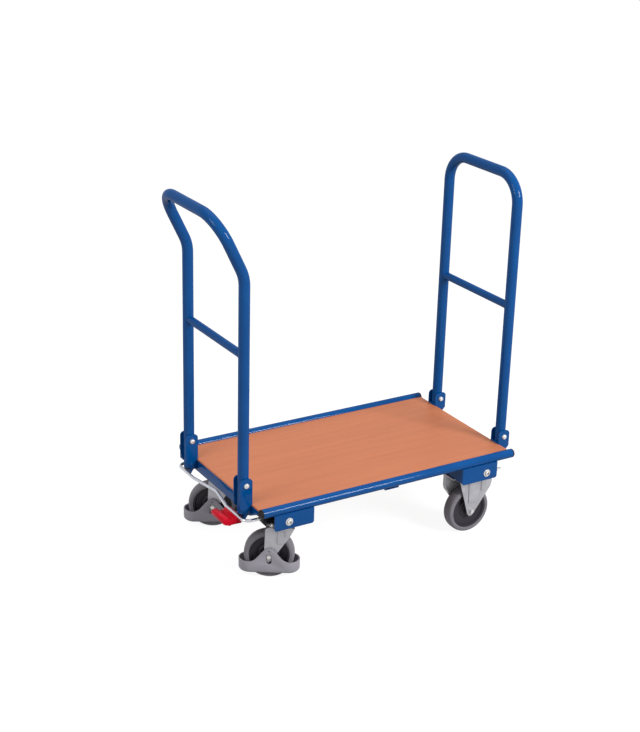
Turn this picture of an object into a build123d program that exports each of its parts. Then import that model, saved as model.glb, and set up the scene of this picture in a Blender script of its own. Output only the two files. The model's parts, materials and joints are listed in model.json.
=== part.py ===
# Folding platform trolley: a wooden deck between two side tubes, a handle at each end that
# folds down over the deck, two fixed castors at the front end and two braked swivel castors
# at the push end.
#
# Sizes are in millimetres. +X points to the front end, +Y to the left side and +Z up.
# The origin is on the floor, under the middle of the trolley's outline.

from build123d import *
from math import atan2, cos, degrees, radians, sin, sqrt, tan
import os

os.makedirs("parts", exist_ok=True)

# Fits and gaps
weld_gap = 0.1
seat_gap = 0.1
running_gap = 0.1
bolt_gap = 0.05
press_gap = 0.3
plunger_gap = 0.7

# Deck
deck_length = 734
deck_width = 400
deck_thickness = 12
deck_lip = 5
deck_lip_thickness = 4
deck_bevel = 0.8
deck_gap = 0.25

# Tubes of the frame and the handles
tube_diameter = 27
tube_wall = 2
crossbar_diameter = 20
crossbar_wall = 1.5
side_tube_diameter = 23
side_tube_drop = 4
side_tube_past = 1.25
cap_flange = 6
cap_plug = 14
cap_round = 4

# End rails and the bar under the deck
rail_thickness = 2.5
rail_depth = 33
rail_end_depth = 3
rail_deep_past = 4
ledge_width = 22
ledge_thickness = 2.5
middle_bar_width = 40
middle_bar_height = 10
middle_bar_wall = 2

# Deck screws
screw_diameter = 4
screw_bite = 8
screw_head_diameter = 8.5
screw_head_height = 2.5
screw_spread = 118

# Castor housings
sheet = 2.5
housing_length = 108
housing_depth = 105.5
housing_height = 41
housing_overhang = 11.5
housing_corner = 6
push_housing_inset = 83
front_housing_inset = 105
front_housing_skirt = 3.5

# Wheels
wheel_diameter = 125
wheel_width = 32
tyre_thickness = 12.5
tyre_shoulder = 9
rim_width = 28
rim_ring = 6
rim_web = 7
hub_diameter = 32
hub_gap = 0.8
axle_diameter = 12
axle_end_diameter = 6
axle_end_past = 1
axle_nut_width = 10

# Forks and castor plates
plate_over_wheel = 41
castor_plate_thickness = 3
swivel_inset = 18.75
fixed_inset = 2.75
kingpin_offset = 8
swivel_trail = 31
right_swivel_yaw = -32
left_swivel_yaw = -29
fixed_axle_offset = 4
fork_sheet = 3
fork_inside = 39
fork_rib = 1.6
fork_nose = 12
fixed_fork_back = 43
fixed_fork_front = 62
fixed_fork_knee_rise = 64
swivel_fork_back = 10
swivel_fork_top = 62
swivel_fork_front = 50
swivel_fork_knee_rise = 53.5
swivel_fork_corner = 10
fork_knee_round = 30
fixed_panel_back = 12
fixed_panel_front = 17
fixed_panel_shift = 2
fixed_rib_offset = 36
fixed_rib_width = 16
fixed_rib_rise = 52
swivel_rib_offset = 20
swivel_rib_spread = 16.5
swivel_rib_width = 7.5
swivel_rib_step = 22
plate_flange = 28
plate_flange_cut = 12

# Swivel head
cup_radius = 36
cup_wall = 3
cup_height = 17
ball_diameter = 8
ball_ring_diameter = 48
ball_count = 14
ball_gap = 0.25
fork_head_radius = 30
shoulder_drop = 14.5
kingpin_diameter = 12
kingpin_flange = 26
kingpin_flange_height = 3

# Toe guards
guard_half_length = 75.5
guard_half_width = 29
guard_wall = 3
guard_low_drop = 45
guard_band = 30.5
guard_peak_rise = 21.5
guard_slope = 50
guard_foot_round = 30
guard_peak_round = 20
guard_hole = 14
guard_slot = 13
guard_pin_hole = 4.5
guard_pin_rise = 15.5
guard_edge = 8
guard_lip = 7

# Handles
post_half_spacing = 144
post_gap = 0.5
front_pivot_rise = 18.5
stack_gap = 5.5
push_tail = 78
front_tail = 44
crossbar_rise = 374
bend_rise = 564
top_rise = 708
handle_lean = 26
bend_radius = 90
corner_radius = 71
plug_flange = 3
plug_depth = 15
pivot_diameter = 8
sleeve_wall = 2

# Handle brackets
bracket_sheet = 3
bracket_web = 2.5
bracket_lip = 17
bracket_crown = 17
bracket_round = 10
push_lip_drop = 4
front_lip_drop = 9
bracket_chamfer = 13
bracket_foot = 38
bracket_heel = 11
bracket_skirt = 9

# Bolts
bolt_diameter = 8
bolt_head_diameter = 14
bolt_head_height = 5
nut_width = 13
nut_height = 6.5
washer_diameter = 20
washer_thickness = 1.6
push_bolt_inset = 39
front_bolt_inset = 33
push_bolt_drop = 34
front_bolt_drop = 37
end_bolt_diameter = 6
end_bolt_head = 10
end_bolt_head_height = 5
end_bolt_inset = 9
end_bolt_drop = 38
end_bolt_stub = 12.5

# Brake
hinge_offset = 28
hinge_drop = 36
hinge_diameter = 8
bow_diameter = 8
bow_reach = 148
bow_rise = 4
bow_dip = 18
bow_dip_half = 90
bow_corner_round = 20
bow_dip_round = 45
bow_grip = 40
arm_spread = 27
lever_length = 104
lever_width = 20
lever_height = 13
lever_boss = 17
lever_web_length = 12
lever_web_drop = 15
lever_finger = 16
lever_finger_past = 8
ear_gap = 0.5
ear_sheet = 3
ear_half_length = 9
plunger_diameter = 6
plunger_head_diameter = 14
plunger_head_height = 3.5
pad_diameter = 20
pad_height = 14
pad_gap = 3.4
pedal_length = 64
pedal_inset = 57.5
pedal_clip = 7
pedal_clip_rise = 1
pedal_clip_drop = 15
pedal_trough_in = 9
pedal_trough_out = 23
pedal_trough_drop = 5
pedal_lip_rise = 3
pedal_reach = 42
pedal_lip_drop = 9
pedal_keel = 24
pedal_keel_drop = 17
pedal_rib_count = 3
pedal_rib_width = 2
pedal_rib_height = 1.2

# Heights that follow from the stack of castor, housing and deck
castor_plate_low = wheel_diameter + plate_over_wheel
housing_low = castor_plate_low
deck_low = housing_low + housing_height
deck_top = deck_low + deck_thickness
axle_z = wheel_diameter / 2
fixed_fork_knee_z = axle_z + fixed_fork_knee_rise
swivel_fork_knee_z = axle_z + swivel_fork_knee_rise
guard_low = axle_z - guard_low_drop
guard_peak = axle_z + guard_peak_rise
plate_top = castor_plate_low + castor_plate_thickness

# Places that follow from the deck and the tubes
tube_radius = tube_diameter / 2
side_tube_radius = side_tube_diameter / 2
side_tube_y = deck_width / 2 + deck_gap * 2 + side_tube_radius
side_tube_z = deck_top - side_tube_drop
rail_back = deck_length / 2 - deck_lip + deck_gap
rail_face = rail_back + rail_thickness
post_x = rail_face + bracket_web + post_gap + tube_radius
front_pivot_z = deck_top + front_pivot_rise
push_pivot_z = front_pivot_z + tube_diameter + stack_gap
bracket_inside = tube_diameter + 2 * post_gap
bracket_width = bracket_inside + 2 * bracket_sheet
housing_outer_y = side_tube_y + housing_overhang
housing_mid_y = housing_outer_y - housing_depth / 2
side_tube_half = rail_face + side_tube_past
push_housing_x = push_housing_inset - deck_length / 2
front_housing_x = deck_length / 2 - front_housing_inset
handle_top_x = post_x + (top_rise - bend_rise) * tan(radians(handle_lean))
push_reach = handle_top_x + tube_radius
front_reach = post_x + bracket_lip
platform_x = (push_reach - front_reach) / 2

# Places of the castors
swivel_y = housing_mid_y - swivel_inset
fixed_y = housing_mid_y - fixed_inset
kingpin_x = push_housing_x + kingpin_offset
fixed_axle_x = front_housing_x + fixed_axle_offset

# Places of the brake
arm_y = swivel_y + arm_spread
pedal_offset = arm_y - pedal_inset
hinge_x = kingpin_x + hinge_offset
hinge_z = deck_top - hinge_drop
bow_tilt = atan2(bow_rise, bow_reach)
plunger_head_x = hinge_offset - plunger_head_diameter / 2
lever_over_pin_z = hinge_z + plunger_head_x * tan(bow_tilt) - lever_height / 2 / cos(bow_tilt)
plunger_top = lever_over_pin_z - plunger_gap


def at(x, y, z):
    """A point measured from the middle of the platform, in the trolley's frame."""
    return (x + platform_x, y, z)


def level(x, y, z):
    """A horizontal sketch plane."""
    return Plane(origin=at(x, y, z))


def side_view(x, y, z):
    """An upright sketch plane seen from the right side: across is +X, up is +Z."""
    return Plane(origin=at(x, y, z), x_dir=(1, 0, 0), z_dir=(0, -1, 0))


def end_view(x, y, z):
    """An upright sketch plane seen along the trolley: across is +Y, up is +Z."""
    return Plane(origin=at(x, y, z), x_dir=(0, 1, 0), z_dir=(1, 0, 0))


def castor_frame(x, y, yaw):
    """The frame of one castor: its own +X is the way its wheel rolls."""
    turn = radians(yaw)
    return Plane(origin=at(x, y, 0), x_dir=(cos(turn), sin(turn), 0), z_dir=(0, 0, 1))


def beside(frame, out):
    """An upright sketch plane along a castor's wheel, at a distance out from its middle."""
    return Plane(
        origin=frame.from_local_coords((0, out, 0)), x_dir=frame.x_dir, z_dir=-frame.y_dir
    )


def above(frame, height):
    """A horizontal sketch plane in a castor's frame."""
    return frame.offset(height)


def save(part, name):
    """Label a finished piece and write its file."""
    part.label = name
    export_step(part, f"parts/{name}.step")


sides = {"left": 1, "right": -1}
ends = {"push": -1, "front": 1}
pivot_heights = {"push": push_pivot_z, "front": front_pivot_z}

# Deck: a board with a thin lip over the end rails, notched behind the handle brackets, and with
# blind holes for the screws that come up through the ledges
ledge_middle_x = rail_back - ledge_width / 2
screw_spots = [(end * ledge_middle_x, row * screw_spread) for end in (-1, 1) for row in (-1, 0, 1)]

notch_x = rail_face - deck_gap
notch_spots = [(end * (notch_x + deck_lip), side * post_half_spacing) for end in (-1, 1) for side in (-1, 1)]

with BuildPart() as deck:
    with BuildSketch(level(0, 0, deck_low)):
        Rectangle(deck_length - 2 * deck_lip, deck_width)
    extrude(amount=deck_thickness)
    with BuildSketch(level(0, 0, deck_top - deck_lip_thickness)):
        Rectangle(deck_length, deck_width)
        with Locations(*notch_spots):
            Rectangle(2 * deck_lip, bracket_width + 2 * post_gap, mode=Mode.SUBTRACT)
    extrude(amount=deck_lip_thickness)
    chamfer(deck.edges().group_by(Axis.Z)[-1], deck_bevel)
    with BuildSketch(level(0, 0, deck_low)):
        with Locations(*screw_spots):
            Circle(screw_diameter / 2 + bolt_gap)
    extrude(amount=screw_bite + seat_gap, mode=Mode.SUBTRACT)
save(deck.part, "deck")

with BuildPart() as deck_screws:
    with BuildSketch(level(0, 0, deck_low - ledge_thickness - screw_head_height)):
        with Locations(*screw_spots):
            Circle(screw_head_diameter / 2)
    extrude(amount=screw_head_height)
    with BuildSketch(level(0, 0, deck_low - ledge_thickness)):
        with Locations(*screw_spots):
            Circle(screw_diameter / 2)
    extrude(amount=ledge_thickness + screw_bite)
save(deck_screws.part, "deck_screws")

# Side tubes with a plastic cap in each end
for side_name, side in sides.items():
    with BuildPart() as side_tube:
        with BuildSketch(end_view(0, side * side_tube_y, side_tube_z)):
            Circle(side_tube_radius)
            Circle(side_tube_radius - tube_wall, mode=Mode.SUBTRACT)
        extrude(amount=side_tube_half, both=True)
    save(side_tube.part, f"{side_name}_side_tube")

with BuildPart() as side_tube_caps:
    for side in sides.values():
        for end in ends.values():
            mouth = end_view(end * side_tube_half, side * side_tube_y, side_tube_z)
            with BuildSketch(mouth):
                Circle(side_tube_radius)
            extrude(amount=end * cap_flange)
            with BuildSketch(mouth):
                Circle(side_tube_radius - tube_wall - seat_gap)
            extrude(amount=-end * cap_plug)
    rims = side_tube_caps.edges().filter_by(GeomType.CIRCLE).group_by(Axis.X)
    fillet(rims[0] + rims[-1], cap_round)
save(side_tube_caps.part, "side_tube_caps")

# End rails: an upright face with a ledge under the deck, sloping up to the side tubes at both ends
rail_half = side_tube_y - side_tube_radius / 2
rail_deep_half = post_half_spacing + rail_deep_past
rail_top = deck_top - deck_lip_thickness - deck_gap
ledge_low = deck_low - ledge_thickness
ledge_half = rail_deep_half + ledge_width


def end_rail(end):
    with BuildPart() as rail:
        with BuildSketch(end_view(end * rail_back, 0, rail_top)):
            with BuildLine():
                Polyline(
                    (-rail_half, 0),
                    (rail_half, 0),
                    (rail_half, -rail_end_depth),
                    (rail_deep_half, -rail_depth),
                    (-rail_deep_half, -rail_depth),
                    (-rail_half, -rail_end_depth),
                    close=True,
                )
            make_face()
        extrude(amount=end * rail_thickness)
        with BuildSketch(level(end * ledge_middle_x, 0, ledge_low)):
            Rectangle(ledge_width, 2 * ledge_half)
        extrude(amount=ledge_thickness)
        with Locations(at(0, side_tube_y, side_tube_z), at(0, -side_tube_y, side_tube_z)):
            Cylinder(
                side_tube_radius + weld_gap, 4 * side_tube_half, rotation=(0, 90, 0), mode=Mode.SUBTRACT
            )
        with BuildSketch(level(0, 0, ledge_low)):
            with Locations(*screw_spots):
                Circle(screw_diameter / 2 + bolt_gap)
        extrude(amount=ledge_thickness, mode=Mode.SUBTRACT)
    return rail.part


for end_name, end in ends.items():
    save(end_rail(end), f"{end_name}_end_rail")

# Bar across the middle, under the deck, shaped to the side tubes at its ends
with BuildPart() as middle_bar:
    with BuildSketch(side_view(0, 0, deck_low - middle_bar_height / 2)):
        Rectangle(middle_bar_width, middle_bar_height)
        Rectangle(
            middle_bar_width - 2 * middle_bar_wall,
            middle_bar_height - 2 * middle_bar_wall,
            mode=Mode.SUBTRACT,
        )
    extrude(amount=side_tube_y, both=True)
    with Locations(at(0, side_tube_y, side_tube_z), at(0, -side_tube_y, side_tube_z)):
        Cylinder(
            side_tube_radius + weld_gap, 2 * middle_bar_width, rotation=(0, 90, 0), mode=Mode.SUBTRACT
        )
save(middle_bar.part, "middle_bar")

# Castor housings: folded sheet boxes under the side tubes, open below
housing_x = {"push": push_housing_x, "front": front_housing_x}
side_bolt_z = {"push": deck_top - push_bolt_drop, "front": deck_top - front_bolt_drop}
side_bolt_insets = {"push": push_bolt_inset, "front": front_bolt_inset}
housing_skirts = {"push": 0, "front": front_housing_skirt}
end_bolt_z = deck_top - end_bolt_drop


def side_bolt_x(end_name):
    return housing_x[end_name] + ends[end_name] * (housing_length / 2 - side_bolt_insets[end_name])


end_bolt_y = housing_outer_y - end_bolt_inset


def castor_housing(end_name, side):
    end = ends[end_name]
    wall_height = housing_height + housing_skirts[end_name]
    middle = level(housing_x[end_name], side * housing_mid_y, deck_low - wall_height)
    mouth_x = housing_x[end_name] + end * (housing_length - sheet) / 2
    with BuildPart() as housing:
        with BuildSketch(middle):
            Rectangle(housing_length, housing_depth)
        extrude(amount=wall_height)
        low_corners = housing.edges().filter_by(Axis.Y).group_by(Axis.Z)[0]
        fillet(low_corners, housing_corner)
        with BuildSketch(middle):
            Rectangle(housing_length - 2 * sheet, housing_depth - 2 * sheet)
        extrude(amount=wall_height - sheet, mode=Mode.SUBTRACT)
        if end_name == "push":
            with BuildSketch(level(mouth_x, side * housing_mid_y, housing_low)):
                Rectangle(sheet, housing_depth - 2 * sheet)
            extrude(amount=housing_height - sheet, mode=Mode.SUBTRACT)
        else:
            with BuildSketch(middle):
                Rectangle(2 * housing_length, housing_depth - 2 * sheet)
            extrude(amount=front_housing_skirt, mode=Mode.SUBTRACT)
        with Locations(at(housing_x[end_name], side * side_tube_y, side_tube_z)):
            Cylinder(
                side_tube_radius + weld_gap, 2 * housing_length, rotation=(0, 90, 0), mode=Mode.SUBTRACT
            )
        with BuildSketch(side_view(side_bolt_x(end_name), side * housing_outer_y, side_bolt_z[end_name])):
            Circle(bolt_diameter / 2 + bolt_gap)
        extrude(amount=side * sheet, mode=Mode.SUBTRACT)
        if end_name == "front":
            with BuildSketch(end_view(mouth_x, side * end_bolt_y, end_bolt_z)):
                Circle(end_bolt_diameter / 2 + bolt_gap)
            extrude(amount=sheet, both=True, mode=Mode.SUBTRACT)
    return housing.part


for end_name in ends:
    for side_name, side in sides.items():
        save(castor_housing(end_name, side), f"{end_name}_{side_name}_castor_housing")

# Castor plates: pans that close the housings from below and are bolted to their walls
pan_length = housing_length - 2 * sheet - 2 * seat_gap
pan_depth = housing_depth - 2 * sheet - 2 * seat_gap
pan_outer_y = housing_outer_y - sheet - seat_gap
ear_out = lever_width / 2 + ear_gap


def castor_plate(end_name, side):
    end = ends[end_name]
    middle_x = housing_x[end_name]
    end_face_x = middle_x + end * pan_length / 2
    flange_y = side * (pan_outer_y - castor_plate_thickness / 2)
    with BuildPart() as plate:
        with BuildSketch(level(middle_x, side * housing_mid_y, castor_plate_low)):
            Rectangle(pan_length, pan_depth)
        extrude(amount=castor_plate_thickness)
        flange_x = middle_x - end * plate_flange_cut / 2
        with BuildSketch(level(flange_x, flange_y, castor_plate_low)):
            Rectangle(pan_length - plate_flange_cut, castor_plate_thickness)
        extrude(amount=plate_flange)
        if end_name == "front":
            with BuildSketch(
                level(end_face_x - end * castor_plate_thickness / 2, side * housing_mid_y, plate_top)
            ):
                Rectangle(castor_plate_thickness, pan_depth)
            extrude(amount=plate_flange - castor_plate_thickness)
        low_corners = plate.edges().filter_by(Axis.Y).group_by(Axis.Z)[0]
        fillet(low_corners, min(housing_corner - sheet, castor_plate_thickness * 0.9))
        with BuildSketch(side_view(side_bolt_x(end_name), side * pan_outer_y, side_bolt_z[end_name])):
            Circle(bolt_diameter / 2 + bolt_gap)
        extrude(amount=side * castor_plate_thickness, mode=Mode.SUBTRACT)
        if end_name == "front":
            with BuildSketch(end_view(end_face_x, side * end_bolt_y, end_bolt_z)):
                Circle(end_bolt_diameter / 2 + bolt_gap)
            extrude(amount=-end * castor_plate_thickness, mode=Mode.SUBTRACT)
        else:
            for out in (ear_out, -ear_out - ear_sheet):
                with BuildSketch(side_view(hinge_x, side * arm_y + out + ear_sheet, hinge_z)):
                    Circle(ear_half_length)
                    Rectangle(
                        2 * ear_half_length, hinge_z - plate_top, align=(Align.CENTER, Align.MAX)
                    )
                    Circle(hinge_diameter / 2 + bolt_gap, mode=Mode.SUBTRACT)
                extrude(amount=ear_sheet)
            with BuildSketch(level(kingpin_x, side * swivel_y, castor_plate_low)):
                Circle(kingpin_diameter / 2 + bolt_gap)
            extrude(amount=castor_plate_thickness, mode=Mode.SUBTRACT)
    return plate.part


plate_names = {"push": "swivel", "front": "fixed"}
for end_name, kind in plate_names.items():
    for side_name, side in sides.items():
        save(castor_plate(end_name, side), f"{kind}_castor_plate_{side_name}")

# Bolts, washers and nuts that hold the castor plates in the housings
housing_bolt_spots = [
    (side_bolt_x(end_name), side, side_bolt_z[end_name])
    for end_name in ends
    for side in sides.values()
]

with BuildPart() as housing_washers:
    for x, side, bolt_z in housing_bolt_spots:
        with BuildSketch(side_view(x, side * housing_outer_y, bolt_z)):
            Circle(washer_diameter / 2)
            Circle(bolt_diameter / 2 + bolt_gap, mode=Mode.SUBTRACT)
        extrude(amount=-side * washer_thickness)
save(housing_washers.part, "housing_washers")

with BuildPart() as housing_bolts:
    for x, side, bolt_z in housing_bolt_spots:
        seat = side_view(x, side * (housing_outer_y + washer_thickness), bolt_z)
        with BuildSketch(seat):
            Circle(bolt_head_diameter / 2)
        extrude(amount=-side * bolt_head_height)
        with BuildSketch(seat):
            Circle(bolt_diameter / 2)
        grip = washer_thickness + sheet + seat_gap + castor_plate_thickness
        extrude(amount=side * (grip + nut_height))
        with BuildSketch(side_view(x, side * (pan_outer_y - castor_plate_thickness), bolt_z)):
            RegularPolygon(nut_width / 2, 6, major_radius=False)
            Circle(bolt_diameter / 2 + bolt_gap, mode=Mode.SUBTRACT)
        extrude(amount=side * nut_height)
    heads = housing_bolts.edges().filter_by(GeomType.CIRCLE).group_by(Axis.Y)
    fillet(heads[0] + heads[-1], bolt_head_height * 0.6)
save(housing_bolts.part, "housing_bolts")

end_wall_x = front_housing_x + housing_length / 2
end_flange_x = front_housing_x + pan_length / 2 - castor_plate_thickness

with BuildPart() as housing_end_bolts:
    for side in sides.values():
        with BuildSketch(end_view(end_flange_x, side * end_bolt_y, end_bolt_z)):
            RegularPolygon(end_bolt_head / 2, 6, major_radius=False)
        extrude(amount=-end_bolt_head_height)
        with BuildSketch(end_view(end_flange_x, side * end_bolt_y, end_bolt_z)):
            Circle(end_bolt_diameter / 2)
        extrude(amount=end_wall_x - end_flange_x + end_bolt_head_height + end_bolt_stub)
        with BuildSketch(end_view(end_wall_x, side * end_bolt_y, end_bolt_z)):
            RegularPolygon(end_bolt_head / 2, 6, major_radius=False)
            Circle(end_bolt_diameter / 2 + bolt_gap, mode=Mode.SUBTRACT)
        extrude(amount=end_bolt_head_height)
save(housing_end_bolts.part, "housing_end_bolts")

# Handle brackets: channels on the end rails, open outwards so that a post's tail can swing out, with
# a skirt across the foot below the tail
bracket_step = bracket_lip - bracket_chamfer
lip_drops = {"push": push_lip_drop, "front": front_lip_drop}


def handle_bracket(end_name, side):
    end = ends[end_name]
    pivot_z = pivot_heights[end_name]
    crown_z = pivot_z + bracket_crown
    foot_z = deck_top - bracket_foot
    lip_z = deck_top - lip_drops[end_name]
    lip_x = end * (post_x + bracket_lip)
    step_x = end * (post_x + bracket_step)
    web_x = end * (rail_face + bracket_web)
    web_top = pivot_z - tube_radius - 2 * post_gap
    with BuildPart() as bracket:
        with BuildSketch(side_view(0, side * post_half_spacing, 0)):
            with BuildLine():
                Polyline(
                    (end * rail_face, crown_z),
                    (lip_x, crown_z),
                    (lip_x, lip_z),
                    (step_x, lip_z - bracket_chamfer),
                    (step_x, foot_z),
                    (end * (post_x - bracket_step), foot_z + bracket_heel),
                    (end * rail_face, foot_z + bracket_heel),
                    close=True,
                )
            make_face()
        extrude(amount=bracket_width / 2, both=True)
        crown_edges = bracket.edges().filter_by(Axis.Y).group_by(Axis.Z)[-1]
        fillet(crown_edges, bracket_round)
        with BuildSketch(level(end * (rail_face + bracket_web), side * post_half_spacing, 0)):
            Rectangle(
                2 * bracket_lip + tube_diameter,
                bracket_inside,
                align=(Align.MIN if end > 0 else Align.MAX, Align.CENTER),
            )
        extrude(amount=crown_z + bracket_crown, mode=Mode.SUBTRACT)
        with BuildSketch(level(step_x, side * post_half_spacing, foot_z)):
            Rectangle(
                bracket_sheet,
                bracket_inside + bracket_sheet,
                align=(Align.MAX if end > 0 else Align.MIN, Align.CENTER),
            )
        extrude(amount=bracket_skirt)
        with BuildSketch(level(web_x, side * post_half_spacing, web_top)):
            Rectangle(
                bracket_web,
                bracket_inside,
                align=(Align.MAX if end > 0 else Align.MIN, Align.CENTER),
            )
        extrude(amount=2 * bracket_crown + tube_diameter, mode=Mode.SUBTRACT)
        with BuildSketch(side_view(end * post_x, side * post_half_spacing, pivot_z)):
            Circle(pivot_diameter / 2 + bolt_gap)
        extrude(amount=bracket_width, both=True, mode=Mode.SUBTRACT)
    return bracket.part


for end_name in ends:
    for side_name, side in sides.items():
        save(handle_bracket(end_name, side), f"{end_name}_{side_name}_handle_bracket")

# Handles: one bent tube each, with a crossbar, plastic plugs and pivot sleeves
tails = {"push": push_tail, "front": front_tail}
handle_top_z = deck_top + top_rise
crossbar_z = deck_top + crossbar_rise


def handle_tube(end_name):
    end = ends[end_name]
    pivot_z = pivot_heights[end_name]
    low_z = pivot_z - tails[end_name] + plug_flange
    x = end * post_x
    top_x = -handle_top_x if end_name == "push" else x
    route = [at(x, -post_half_spacing, low_z)]
    radii = []
    if end_name == "push":
        route.append(at(x, -post_half_spacing, deck_top + bend_rise))
        radii.append(bend_radius)
    route.append(at(top_x, -post_half_spacing, handle_top_z))
    route.append(at(top_x, post_half_spacing, handle_top_z))
    radii += [corner_radius, corner_radius]
    if end_name == "push":
        route.append(at(x, post_half_spacing, deck_top + bend_rise))
        radii.append(bend_radius)
    route.append(at(x, post_half_spacing, low_z))
    with BuildPart() as tube:
        with BuildLine() as path:
            FilletPolyline(*route, radius=radii)
        with BuildSketch(Plane(origin=path.line @ 0, z_dir=path.line % 0)):
            Circle(tube_radius)
            Circle(tube_radius - tube_wall, mode=Mode.SUBTRACT)
        sweep(path=path.line)
        with BuildSketch(side_view(x, 0, pivot_z)):
            Circle(pivot_diameter / 2 + running_gap)
        extrude(amount=2 * post_half_spacing, both=True, mode=Mode.SUBTRACT)
    return tube.part


def handle_crossbar(end_name):
    x = ends[end_name] * post_x
    with BuildPart() as crossbar:
        with BuildSketch(side_view(x, 0, crossbar_z)):
            Circle(crossbar_diameter / 2)
            Circle(crossbar_diameter / 2 - crossbar_wall, mode=Mode.SUBTRACT)
        extrude(amount=post_half_spacing, both=True)
        with BuildSketch(level(x, 0, crossbar_z)):
            with Locations((0, post_half_spacing), (0, -post_half_spacing)):
                Circle(tube_radius + weld_gap)
        extrude(amount=tube_diameter, both=True, mode=Mode.SUBTRACT)
    return crossbar.part


def handle_plugs(end_name):
    low_z = pivot_heights[end_name] - tails[end_name]
    with BuildPart() as plugs:
        with BuildSketch(level(ends[end_name] * post_x, 0, low_z)):
            with Locations((0, post_half_spacing), (0, -post_half_spacing)):
                Circle(tube_radius)
        extrude(amount=plug_flange)
        with BuildSketch(level(ends[end_name] * post_x, 0, low_z + plug_flange)):
            with Locations((0, post_half_spacing), (0, -post_half_spacing)):
                Circle(tube_radius - tube_wall - seat_gap)
        extrude(amount=plug_depth)
    return plugs.part


def pivot_sleeves(end_name):
    bore = tube_radius - tube_wall
    with BuildPart() as sleeves:
        for side in sides.values():
            with BuildSketch(
                side_view(ends[end_name] * post_x, side * post_half_spacing, pivot_heights[end_name])
            ):
                Circle(pivot_diameter / 2 + running_gap + sleeve_wall)
                Circle(pivot_diameter / 2 + running_gap, mode=Mode.SUBTRACT)
            extrude(amount=bore, both=True)
        with BuildSketch(level(ends[end_name] * post_x, 0, 0)):
            with Locations((0, post_half_spacing), (0, -post_half_spacing)):
                Circle(bore - seat_gap)
        extrude(amount=handle_top_z, mode=Mode.INTERSECT)
    return sleeves.part


for end_name in ends:
    save(handle_tube(end_name), f"{end_name}_handle_tube")
    save(handle_crossbar(end_name), f"{end_name}_handle_crossbar")
    save(handle_plugs(end_name), f"{end_name}_handle_plugs")
    save(pivot_sleeves(end_name), f"{end_name}_pivot_sleeves")

# Pivot bolts with round heads outside and cap nuts inside
bracket_out = post_half_spacing + bracket_width / 2
bracket_in = post_half_spacing - bracket_width / 2

with BuildPart() as pivot_bolts:
    for end_name, end in ends.items():
        for side in sides.values():
            seat = side_view(end * post_x, side * bracket_out, pivot_heights[end_name])
            with BuildSketch(seat):
                Circle(bolt_head_diameter / 2)
            extrude(amount=-side * bolt_head_height)
            with BuildSketch(seat):
                Circle(pivot_diameter / 2)
            extrude(amount=side * (bracket_width + nut_height * 0.7))
    heads = pivot_bolts.edges().filter_by(GeomType.CIRCLE).group_by(Axis.Y)
    fillet(heads[0] + heads[-1], bolt_head_height * 0.8)
save(pivot_bolts.part, "pivot_bolts")

with BuildPart() as pivot_cap_nuts:
    for end_name, end in ends.items():
        for side in sides.values():
            seat = side_view(end * post_x, side * bracket_in, pivot_heights[end_name])
            with BuildSketch(seat):
                Circle(nut_width / 2)
            extrude(amount=side * nut_height)
    tips = pivot_cap_nuts.edges().filter_by(GeomType.CIRCLE).filter_by_position(
        Axis.Y, -bracket_in + nut_height - seat_gap, bracket_in - nut_height + seat_gap
    )
    fillet(tips, nut_height * 0.6)
    for end_name, end in ends.items():
        for side in sides.values():
            seat = side_view(end * post_x, side * bracket_in, pivot_heights[end_name])
            with BuildSketch(seat):
                Circle(pivot_diameter / 2 + bolt_gap)
            extrude(amount=side * (nut_height * 0.7 + seat_gap), mode=Mode.SUBTRACT)
save(pivot_cap_nuts.part, "pivot_cap_nuts")

# Wheels: a plastic rim with a recessed web, and a tyre moulded round it
rim_radius = wheel_diameter / 2 - tyre_thickness
leg_inside = fork_inside / 2
leg_outside = leg_inside + fork_sheet
hub_half = leg_inside - hub_gap


def wheel_plane(frame, axle_s):
    """A plane through a wheel's axle: across is along the axle, up is +Z."""
    centre = frame.from_local_coords((axle_s, 0, axle_z))
    return Plane(origin=centre, x_dir=frame.y_dir, z_dir=frame.x_dir)


def wheel_rim(frame, axle_s):
    plane = wheel_plane(frame, axle_s)
    bore = axle_diameter / 2 + running_gap
    with BuildPart() as rim:
        with BuildSketch(plane):
            with Locations((0, bore)):
                Rectangle(2 * hub_half, hub_diameter / 2 - bore, align=(Align.CENTER, Align.MIN))
                Rectangle(rim_web, rim_radius - bore, align=(Align.CENTER, Align.MIN))
            with Locations((0, rim_radius - rim_ring)):
                Rectangle(rim_width, rim_ring, align=(Align.CENTER, Align.MIN))
        revolve(axis=Axis(plane.origin, plane.x_dir))
    return rim.part


def wheel_tyre(frame, axle_s):
    plane = wheel_plane(frame, axle_s)
    with BuildPart() as tyre:
        with BuildSketch(plane) as section:
            with Locations((0, rim_radius)):
                Rectangle(wheel_width, tyre_thickness, align=(Align.CENTER, Align.MIN))
            outer = section.vertices().group_by(Axis.Y)[-1]
            fillet(outer, tyre_shoulder)
        revolve(axis=Axis(plane.origin, plane.x_dir))
    return tyre.part


# Fixed castors: a pressed fork under the castor plate, wide at the top and narrow at the axle
fixed_frames = {name: castor_frame(fixed_axle_x, side * fixed_y, 0) for name, side in sides.items()}


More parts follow.
